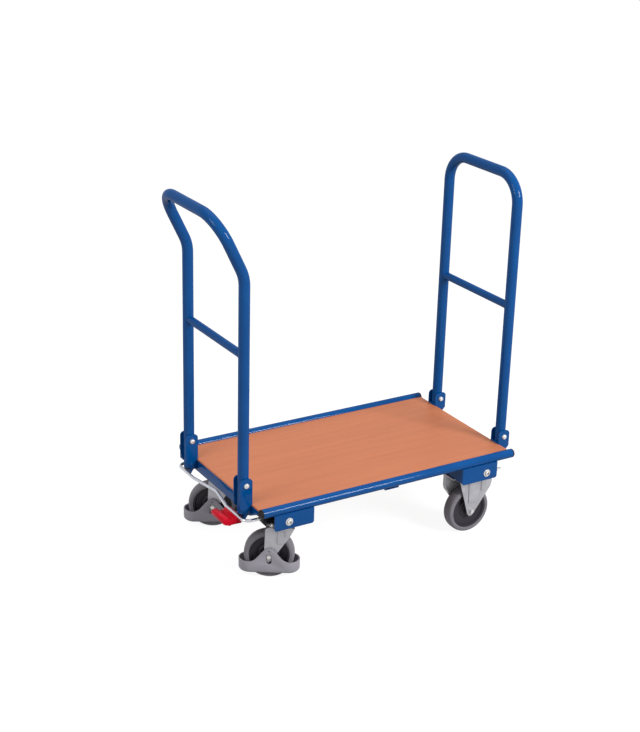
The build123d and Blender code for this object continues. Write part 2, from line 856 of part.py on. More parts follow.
def fork_legs(frame, axle_s, outline, panels, ways, back_round=0):
    """The two legs of a fork, with raised panels outside; ways says where each leg's knee points."""
    knee_z = outline[-1][1]
    sheets = (leg_outside, -leg_inside)
    faces = (leg_outside + fork_rib, -leg_outside)
    with BuildPart() as legs:
        for sheet_out, face_out, way in zip(sheets, faces, ways):
            with BuildSketch(beside(frame, sheet_out)) as blank:
                with BuildLine():
                    Polyline(*[(axle_s + way * along, height) for along, height in outline])
                    CenterArc((axle_s, axle_z), fork_nose, 180, 180)
                make_hull()
                knee = blank.vertices().filter_by_position(Axis.Y, knee_z - seat_gap, knee_z + seat_gap)
                fillet(knee, fork_knee_round)
                if back_round:
                    back_corner = blank.vertices().group_by(Axis.Y)[-1].sort_by(Axis.X)[0]
                    fillet(back_corner, back_round)
                with Locations((axle_s, axle_z)):
                    Circle(axle_end_diameter / 2 + bolt_gap, mode=Mode.SUBTRACT)
            extrude(amount=fork_sheet)
            with BuildSketch(beside(frame, face_out)):
                for panel in panels:
                    with BuildLine():
                        Polyline(*[(axle_s + way * along, height) for along, height in panel], close=True)
                    make_face()
            extrude(amount=fork_rib)
    return legs.part


panel_low = axle_z + 2 * fork_nose


def upright_rib(middle, width, low, high):
    """The outline of a rib that runs straight up a leg."""
    return [
        (middle - width / 2, high),
        (middle + width / 2, high),
        (middle + width / 2, low),
        (middle - width / 2, low),
    ]


def fixed_fork(frame):
    top = castor_plate_low
    outline = [
        (-fixed_fork_back, top),
        (fixed_fork_front, top),
        (fixed_fork_front, fixed_fork_knee_z),
    ]
    panel = [
        (-fixed_panel_back, top - fork_sheet),
        (fixed_panel_front, top - fork_sheet),
        (fixed_panel_front + fixed_panel_shift, panel_low),
        (fixed_panel_shift - fixed_panel_back, panel_low),
    ]
    rib = upright_rib(fixed_rib_offset, fixed_rib_width, axle_z + fixed_rib_rise, top - fork_sheet)
    with BuildPart() as fork:
        add(fork_legs(frame, 0, outline, [panel, rib], (-1, 1)))
        with BuildSketch(above(frame, top)):
            Rectangle(2 * fixed_fork_front, 2 * leg_outside)
        extrude(amount=-fork_sheet)
    return fork.part


for side_name, frame in fixed_frames.items():
    save(fixed_fork(frame), f"fixed_fork_{side_name}")
    save(wheel_rim(frame, 0), f"fixed_wheel_rim_{side_name}")
    save(wheel_tyre(frame, 0), f"fixed_wheel_tyre_{side_name}")


def axle_with_nuts(frame, axle_s):
    """An axle with a shoulder between the legs, thin ends through them and a nut on each end."""
    with BuildPart() as axle:
        with BuildSketch(beside(frame, -leg_inside)):
            with Locations((axle_s, axle_z)):
                Circle(axle_diameter / 2)
        extrude(amount=-fork_inside)
        for away in (1, -1):
            with BuildSketch(beside(frame, away * leg_inside)):
                with Locations((axle_s, axle_z)):
                    Circle(axle_end_diameter / 2)
            extrude(amount=-away * (fork_sheet + nut_height + axle_end_past))
            with BuildSketch(beside(frame, away * leg_outside)):
                with Locations((axle_s, axle_z)):
                    RegularPolygon(axle_nut_width / 2, 6, major_radius=False)
                    Circle(axle_end_diameter / 2 + bolt_gap, mode=Mode.SUBTRACT)
            extrude(amount=-away * nut_height)
    return axle.part


with BuildPart() as fixed_axles:
    for frame in fixed_frames.values():
        add(axle_with_nuts(frame, 0))
save(fixed_axles.part, "fixed_axles")

# Swivel castors: a bearing cup and kingpin under the plate, and a fork that trails behind it
swivel_yaws = {"left": left_swivel_yaw, "right": right_swivel_yaw}
swivel_frames = {
    name: castor_frame(kingpin_x, side * swivel_y, swivel_yaws[name]) for name, side in sides.items()
}
swivel_axle_s = -swivel_trail
cup_roof = castor_plate_low - cup_wall
fork_head_top = cup_roof - ball_diameter - 2 * ball_gap
fork_head_low = fork_head_top - fork_sheet
shoulder_low = fork_head_low - shoulder_drop
flange_top = fork_head_low - press_gap

with BuildPart() as swivel_bearing_cups:
    for frame in swivel_frames.values():
        with BuildSketch(above(frame, castor_plate_low)):
            Circle(cup_radius)
            Circle(kingpin_diameter / 2 + bolt_gap, mode=Mode.SUBTRACT)
        extrude(amount=-cup_wall)
        with BuildSketch(above(frame, cup_roof)):
            Circle(cup_radius)
            Circle(cup_radius - cup_wall, mode=Mode.SUBTRACT)
        extrude(amount=cup_wall - cup_height)
save(swivel_bearing_cups.part, "swivel_bearing_cups")

with BuildPart() as swivel_balls:
    for frame in swivel_frames.values():
        with BuildSketch(above(frame, cup_roof - ball_gap - ball_diameter / 2), mode=Mode.PRIVATE):
            with PolarLocations(ball_ring_diameter / 2, ball_count) as ring:
                centres = [place.position for place in ring.locations]
        with Locations(*centres):
            Sphere(ball_diameter / 2)
save(swivel_balls.part, "swivel_balls")

with BuildPart() as kingpins:
    for frame in swivel_frames.values():
        with BuildSketch(above(frame, plate_top)):
            Circle(kingpin_diameter / 2)
        extrude(amount=flange_top - plate_top)
        with BuildSketch(above(frame, flange_top)):
            Circle(kingpin_flange / 2)
        extrude(amount=-kingpin_flange_height)
        with BuildSketch(above(frame, plate_top)):
            Circle(plunger_diameter / 2 + running_gap)
        extrude(amount=-castor_plate_low, mode=Mode.SUBTRACT)
save(kingpins.part, "kingpins")


def swivel_fork(frame):
    back = swivel_axle_s - swivel_fork_back + swivel_fork_corner
    front = swivel_axle_s + swivel_fork_top
    shoulder_top = shoulder_low + fork_sheet
    outline = [
        (-swivel_fork_back, shoulder_top),
        (swivel_fork_top, shoulder_top),
        (swivel_fork_front, swivel_fork_knee_z),
    ]
    far_rib = swivel_rib_offset + swivel_rib_spread
    ribs = [
        upright_rib(swivel_rib_offset, swivel_rib_width, panel_low, shoulder_low),
        upright_rib(far_rib, swivel_rib_width, panel_low + swivel_rib_step, shoulder_low),
    ]
    with BuildPart() as fork:
        add(fork_legs(frame, swivel_axle_s, outline, ribs, (1, 1), swivel_fork_corner))
        with BuildSketch(above(frame, shoulder_low)):
            with Locations(((back + front) / 2, 0)):
                Rectangle(front - back, 2 * leg_outside)
            Circle(fork_head_radius)
        extrude(amount=fork_sheet)
        with BuildSketch(above(frame, shoulder_low)):
            Circle(fork_head_radius)
        extrude(amount=fork_head_top - shoulder_low)
        with BuildSketch(above(frame, shoulder_low)):
            Circle(fork_head_radius - fork_sheet)
        extrude(amount=fork_head_low - shoulder_low, mode=Mode.SUBTRACT)
        with BuildSketch(above(frame, fork_head_low)):
            Circle(kingpin_diameter / 2 + running_gap)
        extrude(amount=fork_sheet, mode=Mode.SUBTRACT)
    return fork.part


# Toe guards: an oval ring round the foot of the wheel, with sides that rise past the axle and a
# slot on each side for the axle nut
def guard_tub(frame, inset, low, edge):
    """A solid tub with a rounded foot, which is the outside or the inside of a guard's band."""
    with BuildPart() as tub:
        with BuildSketch(above(frame, low)):
            with Locations((swivel_axle_s, 0)):
                SlotOverall(2 * (guard_half_length - inset), 2 * (guard_half_width - inset))
        extrude(amount=guard_peak + guard_wall - low)
        fillet(tub.edges().group_by(Axis.Z)[0], edge)
    return tub.part


def toe_guard(frame):
    band_top = guard_low + guard_band
    rise = guard_peak - band_top
    peak_half = guard_peak_round * tan(radians(guard_slope / 2))
    foot_half = peak_half + rise / tan(radians(guard_slope))
    end_half = guard_half_length + guard_wall
    inner_half_width = guard_half_width - guard_wall
    slot_height = guard_hole + guard_slot
    slot_z = axle_z - guard_slot / 2
    with BuildPart() as guard:
        add(guard_tub(frame, 0, guard_low, guard_edge))
        add(
            guard_tub(frame, guard_wall, guard_low + guard_wall, guard_edge - guard_wall),
            mode=Mode.SUBTRACT,
        )
        with BuildSketch(above(frame, guard_low)):
            with Locations((swivel_axle_s, 0)):
                SlotOverall(2 * (guard_half_length - guard_lip), 2 * (guard_half_width - guard_lip))
        extrude(amount=guard_wall, mode=Mode.SUBTRACT)
        mid = swivel_axle_s
        peak_turn = guard_peak_round * 0.98
        with BuildSketch(beside(frame, end_half)):
            with BuildLine():
                hump = FilletPolyline(
                    (mid - end_half, band_top),
                    (mid - foot_half, band_top),
                    (mid - peak_half, guard_peak),
                    (mid + peak_half, guard_peak),
                    (mid + foot_half, band_top),
                    (mid + end_half, band_top),
                    radius=[guard_foot_round, peak_turn, peak_turn, guard_foot_round],
                )
                Polyline(
                    hump @ 1,
                    (mid + end_half, guard_peak + end_half),
                    (mid - end_half, guard_peak + end_half),
                    hump @ 0,
                )
            make_face()
        extrude(amount=2 * end_half, mode=Mode.SUBTRACT)
        for inner in (inner_half_width, -leg_outside):
            with BuildSketch(beside(frame, inner)):
                with Locations((swivel_axle_s, slot_z)):
                    SlotOverall(slot_height + 2 * guard_wall, guard_hole + 2 * guard_wall, rotation=90)
            extrude(amount=inner_half_width - leg_outside)
        with BuildSketch(beside(frame, guard_half_width)):
            with Locations((swivel_axle_s, slot_z)):
                SlotOverall(slot_height, guard_hole, rotation=90)
            with Locations((swivel_axle_s, axle_z + guard_pin_rise)):
                Circle(guard_pin_hole / 2)
        extrude(amount=2 * guard_half_width, mode=Mode.SUBTRACT)
    return guard.part


for side_name, frame in swivel_frames.items():
    save(swivel_fork(frame), f"swivel_fork_{side_name}")
    save(toe_guard(frame), f"toe_guard_{side_name}")
    save(wheel_rim(frame, swivel_axle_s), f"swivel_wheel_rim_{side_name}")
    save(wheel_tyre(frame, swivel_axle_s), f"swivel_wheel_tyre_{side_name}")
    save(axle_with_nuts(frame, swivel_axle_s), f"swivel_axle_{side_name}")

# Brake bow: a bent rod in the tilted plane of the brake hinge, across is outwards, up is right
bow_plane = Plane(
    origin=at(hinge_x, 0, hinge_z),
    x_dir=(-cos(bow_tilt), 0, sin(bow_tilt)),
    z_dir=(sin(bow_tilt), 0, cos(bow_tilt)),
)
arm_start = lever_length - bow_grip

with BuildPart() as brake_bow:
    with BuildLine(bow_plane) as bow_path:
        FilletPolyline(
            (arm_start, -arm_y),
            (bow_reach, -arm_y),
            (bow_reach, -bow_dip_half),
            (bow_reach - bow_dip, 0),
            (bow_reach, bow_dip_half),
            (bow_reach, arm_y),
            (arm_start, arm_y),
            radius=[bow_corner_round] + [bow_dip_round] * 3 + [bow_corner_round],
        )
    with BuildSketch(Plane(origin=bow_path.line @ 0, z_dir=bow_path.line % 0)):
        Circle(bow_diameter / 2)
    sweep(path=bow_path.line)
save(brake_bow.part, "brake_bow")

# Brake levers: plastic arms on the ends of the bow that reach over the kingpins to the hinge
with BuildPart() as brake_levers:
    for side in sides.values():
        lever_side = Plane(
            origin=bow_plane.from_local_coords((0, -side * arm_y - lever_width / 2, 0)),
            x_dir=bow_plane.x_dir,
            z_dir=bow_plane.y_dir,
        )
        with BuildSketch(lever_side):
            Circle(lever_boss / 2)
            Rectangle(lever_length, lever_height, align=(Align.MIN, Align.CENTER))
            with BuildLine():
                Polyline(
                    (lever_length - lever_web_length, 0),
                    (lever_length, 0),
                    (lever_length, lever_height / 2 + lever_web_drop * 0.1),
                    (lever_length - lever_web_length, lever_height / 2 + lever_web_drop),
                    close=True,
                )
            make_face()
            Circle(hinge_diameter / 2 + running_gap, mode=Mode.SUBTRACT)
        extrude(amount=lever_width)
        finger = Plane(
            origin=bow_plane.from_local_coords((hinge_offset, -side * arm_y, 0)),
            x_dir=bow_plane.x_dir,
            z_dir=bow_plane.y_dir,
        )
        with BuildSketch(finger):
            Rectangle(lever_finger, lever_height)
        extrude(amount=side * (arm_y - swivel_y + lever_finger_past))
        bore = Plane(
            origin=bow_plane.from_local_coords((lever_length, -side * arm_y, 0)),
            z_dir=-bow_plane.x_dir,
        )
        with BuildSketch(bore):
            Circle(bow_diameter / 2 + bolt_gap)
        extrude(amount=bow_grip + seat_gap, mode=Mode.SUBTRACT)
save(brake_levers.part, "brake_levers")

with BuildPart() as brake_hinge_pins:
    for side in sides.values():
        pin_start = side * arm_y + ear_out + ear_sheet
        with BuildSketch(side_view(hinge_x, pin_start, hinge_z)):
            Circle(hinge_diameter / 2)
        extrude(amount=2 * (ear_out + ear_sheet))
        for rim, away in ((pin_start, -1), (pin_start - 2 * (ear_out + ear_sheet), 1)):
            with BuildSketch(side_view(hinge_x, rim, hinge_z)):
                Circle(hinge_diameter * 0.75)
            extrude(amount=away * ear_sheet)
save(brake_hinge_pins.part, "brake_hinge_pins")

# Brake plungers: pins through the hollow kingpins, with a pad above the tyre
pad_reach = swivel_trail - pad_diameter / 2
pad_low = axle_z + sqrt((wheel_diameter / 2) ** 2 - pad_reach**2) + pad_gap

for side_name, frame in swivel_frames.items():
    with BuildPart() as brake_plunger:
        with BuildSketch(above(frame, plunger_top)):
            Circle(plunger_head_diameter / 2)
        extrude(amount=-plunger_head_height)
        with BuildSketch(above(frame, plunger_top)):
            Circle(plunger_diameter / 2)
        extrude(amount=pad_low - plunger_top)
        with BuildSketch(above(frame, pad_low)):
            Circle(pad_diameter / 2)
        extrude(amount=pad_height)
    save(brake_plunger.part, f"brake_plunger_{side_name}")

# Brake pedal: a plastic tread clipped under the right half of the bow, with a trough and a broad lip
pedal_end = Plane(
    origin=bow_plane.from_local_coords((bow_reach, pedal_offset - pedal_length / 2, 0)),
    x_dir=bow_plane.x_dir,
    z_dir=bow_plane.y_dir,
)
lip_width = pedal_reach - pedal_trough_out
lip_back = pedal_trough_out + lip_width * 0.15
lip_front = pedal_reach - lip_width * 0.2

with BuildPart() as brake_pedal:
    with BuildSketch(pedal_end):
        with BuildLine():
            Polyline(
                (-pedal_clip, pedal_clip_drop),
                (-pedal_clip, -pedal_clip_rise),
                (pedal_clip, -pedal_clip_rise),
                (pedal_trough_in, pedal_trough_drop),
                (pedal_trough_out, pedal_trough_drop),
                (lip_back, -pedal_clip_rise),
                (lip_back + pedal_lip_rise, -pedal_lip_rise),
                (lip_front, -pedal_lip_rise * 0.7),
                (pedal_reach, pedal_lip_rise * 0.7),
                (pedal_reach, pedal_lip_drop),
                (lip_front, pedal_lip_drop + pedal_lip_rise),
                (pedal_keel, pedal_keel_drop),
                (pedal_keel - pedal_clip / 2, pedal_clip_drop),
                close=True,
            )
        make_face()
        for step in range(pedal_rib_count):
            share = (step + 1) / (pedal_rib_count + 1)
            rib_out = pedal_trough_in + share * (pedal_trough_out - pedal_trough_in)
            with Locations((rib_out, pedal_trough_drop)):
                Rectangle(pedal_rib_width, 2 * pedal_rib_height)
        Circle(bow_diameter / 2 + bolt_gap, mode=Mode.SUBTRACT)
    extrude(amount=pedal_length)
save(brake_pedal.part, "brake_pedal")
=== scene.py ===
# %% [markdown]
# # Folding platform trolley
# The trolley has a wooden deck between two side tubes, a tube handle at each end that folds down
# over the deck, fixed castors in front and braked swivel castors at the push end.
# The CAD model already holds every piece at its real size and place, so Blender only loads it as
# a fixed frame. What is done here is the look: finishes, softened edges and the small details
# that a plain solid does not have.

import json
import math

import bpy
from mathutils import Matrix, Vector


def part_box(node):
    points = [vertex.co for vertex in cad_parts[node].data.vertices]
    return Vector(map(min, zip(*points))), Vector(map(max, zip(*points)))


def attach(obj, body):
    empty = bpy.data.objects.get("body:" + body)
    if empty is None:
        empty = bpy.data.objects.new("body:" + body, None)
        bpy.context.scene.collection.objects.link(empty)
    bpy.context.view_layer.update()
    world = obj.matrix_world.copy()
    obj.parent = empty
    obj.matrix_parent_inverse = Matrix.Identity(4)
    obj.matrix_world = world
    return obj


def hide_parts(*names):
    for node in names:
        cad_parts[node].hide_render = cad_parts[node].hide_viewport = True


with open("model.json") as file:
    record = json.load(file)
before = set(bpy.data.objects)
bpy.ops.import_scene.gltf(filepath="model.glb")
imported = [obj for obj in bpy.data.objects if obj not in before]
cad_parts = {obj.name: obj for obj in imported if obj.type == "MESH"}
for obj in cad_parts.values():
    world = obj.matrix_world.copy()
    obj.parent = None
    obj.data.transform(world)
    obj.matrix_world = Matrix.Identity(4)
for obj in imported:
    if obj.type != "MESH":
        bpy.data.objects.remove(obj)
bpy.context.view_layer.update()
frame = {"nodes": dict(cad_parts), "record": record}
bpy.ops.object.select_all(action="DESELECT")

# %% [markdown]
# ## Camera
# The photograph was taken from the right of the push end, a little above the handles, with a
# long lens. The camera was fitted to the straight tubes and the deck, which gives its place,
# three angles and a focal length in pixels. The same numbers are used here, so each piece falls
# on its own place in the picture.

# %% Camera at the photograph's place
picture_height = 732
focal_pixels = 1516.3
sensor_height = 36
view_depth = 50
camera_place = Vector((-1.88258, -2.99372, 1.85772))
camera_yaw = 0.548
camera_pitch = 0.378
camera_roll = 0.027

forward = Vector(
    (
        math.sin(camera_yaw) * math.cos(camera_pitch),
        math.cos(camera_yaw) * math.cos(camera_pitch),
        -math.sin(camera_pitch),
    )
)
level_right = Vector((math.cos(camera_yaw), -math.sin(camera_yaw), 0))
level_up = level_right.cross(forward)
right = math.cos(camera_roll) * level_right + math.sin(camera_roll) * level_up
up = math.cos(camera_roll) * level_up - math.sin(camera_roll) * level_right

bpy.ops.object.camera_add()
camera = bpy.context.object
camera.name = "camera"
turn = Matrix((right, up, -forward)).transposed()
camera.matrix_world = Matrix.Translation(camera_place) @ turn.to_4x4()
camera.data.sensor_fit = "VERTICAL"
camera.data.sensor_height = sensor_height
camera.data.lens = sensor_height * focal_pixels / picture_height
camera.data.clip_end = view_depth
bpy.context.scene.camera = camera
print("lens:", round(camera.data.lens, 2), "mm")

# %% [markdown]
# ## Floor, background and light
# The photograph has a white background without a horizon. The floor is a large plane that looks
# white to the camera, also in a mirror or through glass, and still takes a soft shadow. Large
# soft lamps stand where a studio would have them: the main one in front and to the right, a weak
# one on the left and one overhead. The world adds an even fill, so that shaded sides keep their
# colour. All together a surface that faces the main lamp gets about as much light as a white card
# reflects, so a colour comes out about as it is written.

# %% Floor
floor_size = 30
floor_drop = 0.0005
floor_glow = 0.9
floor_grey = 0.22


def seen_directly(tree):
    """1 for what is seen plainly, in a mirror or through glass, 0 for light that only bounces."""
    path = tree.nodes.new("ShaderNodeLightPath")
    seen = path.outputs["Is Camera Ray"]
    for ray in ("Is Glossy Ray", "Is Transmission Ray"):
        either = tree.nodes.new("ShaderNodeMath")
        either.operation = "MAXIMUM"
        tree.links.new(seen, either.inputs[0])
        tree.links.new(path.outputs[ray], either.inputs[1])
        seen = either.outputs[0]
    return seen


bpy.ops.mesh.primitive_plane_add(size=floor_size, location=(0, 0, -floor_drop))
floor = bpy.context.object
floor.name = "floor"
floor_white = bpy.data.materials.new("floor_white")
floor_white.use_nodes = True
tree = floor_white.node_tree
tree.nodes.remove(tree.nodes["Principled BSDF"])
glow_level = tree.nodes.new("ShaderNodeMath")
glow_level.operation = "MULTIPLY"
glow_level.inputs[1].default_value = floor_glow
tree.links.new(seen_directly(tree), glow_level.inputs[0])
glow = tree.nodes.new("ShaderNodeEmission")
tree.links.new(glow_level.outputs[0], glow.inputs["Strength"])
matt = tree.nodes.new("ShaderNodeBsdfDiffuse")
matt.inputs["Color"].default_value = (floor_grey, floor_grey, floor_grey, 1)
both = tree.nodes.new("ShaderNodeAddShader")
tree.links.new(glow.outputs[0], both.inputs[0])
tree.links.new(matt.outputs[0], both.inputs[1])
tree.links.new(both.outputs[0], tree.nodes["Material Output"].inputs["Surface"])
floor.data.materials.append(floor_white)
print("floor:", tuple(round(d, 2) for d in floor.dimensions))

# %% World and lamps
fill_light = 0.5
white_light = 1.0
world = bpy.data.worlds.new("studio")
bpy.context.scene.world = world
world.use_nodes = True
tree = world.node_tree
backdrop = tree.nodes["Background"]
backdrop.inputs["Color"].default_value = (1, 1, 1, 1)
fill = tree.nodes.new("ShaderNodeMapRange")
fill.inputs["To Min"].default_value = fill_light
fill.inputs["To Max"].default_value = white_light
tree.links.new(seen_directly(tree), fill.inputs["Value"])
tree.links.new(fill.outputs["Result"], backdrop.inputs["Strength"])


def soft_lamp(name, place, aim, size, power):
    """A square soft lamp that points at a place on the trolley."""
    bpy.ops.object.light_add(type="AREA", location=place)
    lamp = bpy.context.object
    lamp.name = name
    lamp.data.shape = "SQUARE"
    lamp.data.size = size
    lamp.data.energy = power
    lamp.rotation_euler = (Vector(aim) - Vector(place)).to_track_quat("-Z", "Y").to_euler()


soft_lamp("main_lamp", place=(1.6, -3.2, 2.3), aim=(0, 0, 0.35), size=1.2, power=125)
soft_lamp("side_lamp", place=(-2.8, -0.6, 2.0), aim=(0, 0, 0.35), size=1.2, power=26)
soft_lamp("top_lamp", place=(0.2, 0.6, 3.2), aim=(0, 0, 0.2), size=2.0, power=10)
bpy.context.scene.view_settings.view_transform = "Standard"

# %% [markdown]
# ## Finishes
# Every finish is a node material on Object coordinates, so it stays on its piece when the piece
# moves. Each one starts from the colour of the real surface and adds what the eye expects up
# close: a faint mottling, a roughness that is not quite even and, on most of them, a fine relief.

# %% Helpers for the finishes
noise_low = 0.3
noise_high = 0.7


def srgb(red, green, blue):
    """A colour as an image editor shows it, turned into the linear values that nodes use."""
    steps = [c / 255 for c in (red, green, blue)]
    linear = [c / 12.92 if c <= 0.04045 else ((c + 0.055) / 1.055) ** 2.4 for c in steps]
    return (*linear, 1)


def new_finish(name, metal=0.0, gloss=0.5):
    """An empty node material with its shader; gloss is how strongly it mirrors what is around."""
    material = bpy.data.materials.new(name)
    material.use_nodes = True
    shader = material.node_tree.nodes["Principled BSDF"]
    shader.inputs["Metallic"].default_value = metal
    shader.inputs["Specular IOR Level"].default_value = gloss
    return material, material.node_tree, shader


def mottle(tree, scale, detail, stretch=(1, 1, 1), rough=0.5):
    """A noise pattern on Object coordinates, from 0 to 1."""
    place = tree.nodes.new("ShaderNodeTexCoord")
    grid = tree.nodes.new("ShaderNodeMapping")
    grid.inputs["Scale"].default_value = stretch
    tree.links.new(place.outputs["Object"], grid.inputs["Vector"])
    noise = tree.nodes.new("ShaderNodeTexNoise")
    noise.inputs["Scale"].default_value = scale
    noise.inputs["Detail"].default_value = detail
    noise.inputs["Roughness"].default_value = rough
    tree.links.new(grid.outputs["Vector"], noise.inputs["Vector"])
    return noise.outputs["Fac"]


def shades(tree, pattern, low, high, span=(noise_low, noise_high)):
    """Two colours, placed by a pattern."""
    ramp = tree.nodes.new("ShaderNodeValToRGB")
    ramp.color_ramp.elements[0].position = span[0]
    ramp.color_ramp.elements[0].color = low
    ramp.color_ramp.elements[1].position = span[1]
    ramp.color_ramp.elements[1].color = high
    tree.links.new(pattern, ramp.inputs["Fac"])
    return ramp.outputs["Color"]


def two_tone(tree, shader, pattern, low, high):
    """Colour a finish in two close shades that follow a pattern."""
    tree.links.new(shades(tree, pattern, low, high), shader.inputs["Base Color"])


def roughen(tree, shader, pattern, low, high):
    """Give a finish a roughness that wanders between two values with a pattern."""
    span = tree.nodes.new("ShaderNodeMapRange")
    span.inputs["From Min"].default_value = noise_low
    span.inputs["From Max"].default_value = noise_high
    span.inputs["To Min"].default_value = low
    span.inputs["To Max"].default_value = high
    tree.links.new(pattern, span.inputs["Value"])
    tree.links.new(span.outputs["Result"], shader.inputs["Roughness"])


def overlay(tree, mask, under, over):
    """One colour laid over another where a mask is white."""
    mix = tree.nodes.new("ShaderNodeMix")
    mix.data_type = "RGBA"
    tree.links.new(mask, mix.inputs["Factor"])
    tree.links.new(under, mix.inputs["A"])
    mix.inputs["B"].default_value = over
    return mix.outputs["Result"]


def relief(tree, shader, pattern, strength, depth=0.0003):
    """A fine relief on the surface."""
    bump = tree.nodes.new("ShaderNodeBump")
    bump.inputs["Strength"].default_value = strength
    bump.inputs["Distance"].default_value = depth
    tree.links.new(pattern, bump.inputs["Height"])
    tree.links.new(bump.outputs["Normal"], shader.inputs["Normal"])


print("helpers ready")

# %% [markdown]
# ### Blue powder coat
# The frame and the handles are sprayed with powder and baked. The colour is matt and has a very
# slight orange-peel relief. A thin, smooth clear skin over it mirrors the lamps at the bends.

# %% Blue powder coat
skin_weight = 0.28
skin_roughness = 0.08
blue_coat, tree, shader = new_finish("blue_powder_coat", gloss=0.0)
two_tone(tree, shader, mottle(tree, scale=14, detail=3), srgb(1, 73, 138), srgb(4, 79, 146))
roughen(tree, shader, mottle(tree, scale=60, detail=2), low=0.4, high=0.48)
relief(tree, shader, mottle(tree, scale=260, detail=1), strength=0.012)
shader.inputs["Coat Weight"].default_value = skin_weight
shader.inputs["Coat Roughness"].default_value = skin_roughness
print(blue_coat.name)

# %% [markdown]
# ### Beech board
# The deck is a board with a beech-coloured surface. Beech has an even, reddish-tan ground, long
# faint streaks along the board and many very short brown flecks. Noise that is stretched along
# the board gives the streaks, and a finer, sharper noise gives the flecks.

# %% Beech board
black = (0, 0, 0, 1)
white = (1, 1, 1, 1)
beech, tree, shader = new_finish("beech_board", gloss=0.25)
streaks = mottle(tree, scale=9, detail=5, stretch=(0.35, 6, 6), rough=0.6)
ground = shades(tree, streaks, srgb(197, 117, 79), srgb(207, 127, 88))
flecks = mottle(tree, scale=60, detail=2, stretch=(1, 14, 14), rough=0.6)
fleck_mask = shades(tree, flecks, black, white, span=(0.62, 0.74))
flecked = overlay(tree, fleck_mask, ground, srgb(184, 105, 68))
tree.links.new(flecked, shader.inputs["Base Color"])
roughen(tree, shader, streaks, low=0.45, high=0.55)
relief(tree, shader, flecks, strength=0.06, depth=0.0002)
print(beech.name)

# %% [markdown]
# ### Zinc and bright metal
# The castors are made of bright zinc-plated sheet, the bolts and nuts have the same plating, and
# the brake bow is a polished rod. Plated sheet shows fine rolling lines and a slightly cloudy
# gloss, so its roughness wanders more than that of the rod.

# %% Zinc sheet, fasteners and bright rod
zinc_sheet, tree, shader = new_finish("zinc_sheet", metal=0.45)
cloud = mottle(tree, scale=45, detail=4)
two_tone(tree, shader, cloud, srgb(163, 162, 168), srgb(179, 178, 183))
roughen(tree, shader, mottle(tree, scale=80, detail=3, stretch=(1, 1, 5)), low=0.34, high=0.48)
relief(tree, shader, mottle(tree, scale=500, detail=2, stretch=(1, 1, 4)), strength=0.05)

zinc_bolt, tree, shader = new_finish("zinc_fastener", metal=0.6)
cloud = mottle(tree, scale=120, detail=3)
two_tone(tree, shader, cloud, srgb(200, 199, 198), srgb(218, 216, 213))
roughen(tree, shader, mottle(tree, scale=260, detail=3), low=0.2, high=0.34)

bright_rod, tree, shader = new_finish("bright_rod", metal=0.8)
cloud = mottle(tree, scale=90, detail=2)
two_tone(tree, shader, cloud, srgb(190, 191, 198), srgb(206, 207, 214))
roughen(tree, shader, mottle(tree, scale=160, detail=2), low=0.12, high=0.2)
print(zinc_sheet.name, zinc_bolt.name, bright_rod.name)

# %% [markdown]
# ### Plastics and rubber
# The tyres are grey rubber, the wheel centres near-black plastic, the toe guards mid-grey plastic,
# the pedal bright red and the tube caps and brake levers black. Moulded plastic has a fine
# spark-eroded grain, so each gets a small relief and a roughness that varies a little.

# %% Plastics and rubber


def moulded(name, low, high, rough, gloss, grain=900, strength=0.06):
    """A moulded plastic or rubber in two close shades, with a fine grain."""
    material, tree, shader = new_finish(name, gloss=gloss)
    two_tone(tree, shader, mottle(tree, scale=30, detail=3), low, high)
    roughen(tree, shader, mottle(tree, scale=120, detail=2), *rough)
    relief(tree, shader, mottle(tree, scale=grain, detail=2), strength)
    return material


grey_tyre = moulded(
    "grey_tyre",
    srgb(122, 119, 126),
    srgb(131, 128, 135),
    rough=(0.5, 0.62),
    gloss=0.25,
    grain=700,
    strength=0.1,
)
rim_plastic = moulded(
    "rim_plastic", srgb(38, 35, 43), srgb(46, 43, 51), rough=(0.36, 0.46), gloss=0.25
)
guard_plastic = moulded(
    "guard_plastic", srgb(154, 151, 160), srgb(161, 158, 167), rough=(0.42, 0.52), gloss=0.25
)
red_plastic = moulded(
    "red_plastic", srgb(202, 6, 36), srgb(211, 10, 42), rough=(0.32, 0.42), gloss=0.1
)
black_plastic = moulded(
    "black_plastic", srgb(14, 14, 16), srgb(20, 20, 22), rough=(0.4, 0.5), gloss=0.2
)
print("plastics and rubber ready")

# %% Finish of every CAD node
finish_of = {
    "deck_board": beech,
    "blue_paint": blue_coat,
    "black_plastic": black_plastic,
    "rim_plastic": rim_plastic,
    "grey_tyre": grey_tyre,
    "guard_plastic": guard_plastic,
    "red_plastic": red_plastic,
    "bright_rod": bright_rod,
    "zinc_sheet": zinc_sheet,
    "zinc_fastener": zinc_bolt,
}
record = frame["record"]
slot_of = {p["node"]: p["material_slot"] for p in record["subparts"]}
body_of = {node: body for body, nodes in record["behaviour"]["bodies"].items() for node in nodes}
for node, piece in frame["nodes"].items():
    piece.data.materials.clear()
    piece.data.materials.append(finish_of[slot_of[node]])
print("nodes with a finish:", len(slot_of))

# %% [markdown]
# ## Softened edges
# Nothing on a real trolley has a knife-sharp edge: bent sheet has a radius, cut sheet is tumbled
# and powder coat rounds off what is left. A plain solid has none of this, and its edges look dead
# because they catch no light. Each of these pieces starts as a copy of its CAD mesh. The copy's
# loose triangles are merged, flat areas are dissolved into single faces, and the sharp edges get
# a narrow round bevel. A bevel in the mesh was chosen over one in the shader, because it stays
# when the model is exported.

# %% Helpers for holding and picking
mm = 0.001
points_only = (True, False, False)
edges_only = (False, True, False)
faces_only = (False, False, True)


def hold(piece):
    """Select one piece alone and make it the active one."""
    bpy.ops.object.select_all(action="DESELECT")
    piece.select_set(True)
    bpy.context.view_layer.objects.active = piece


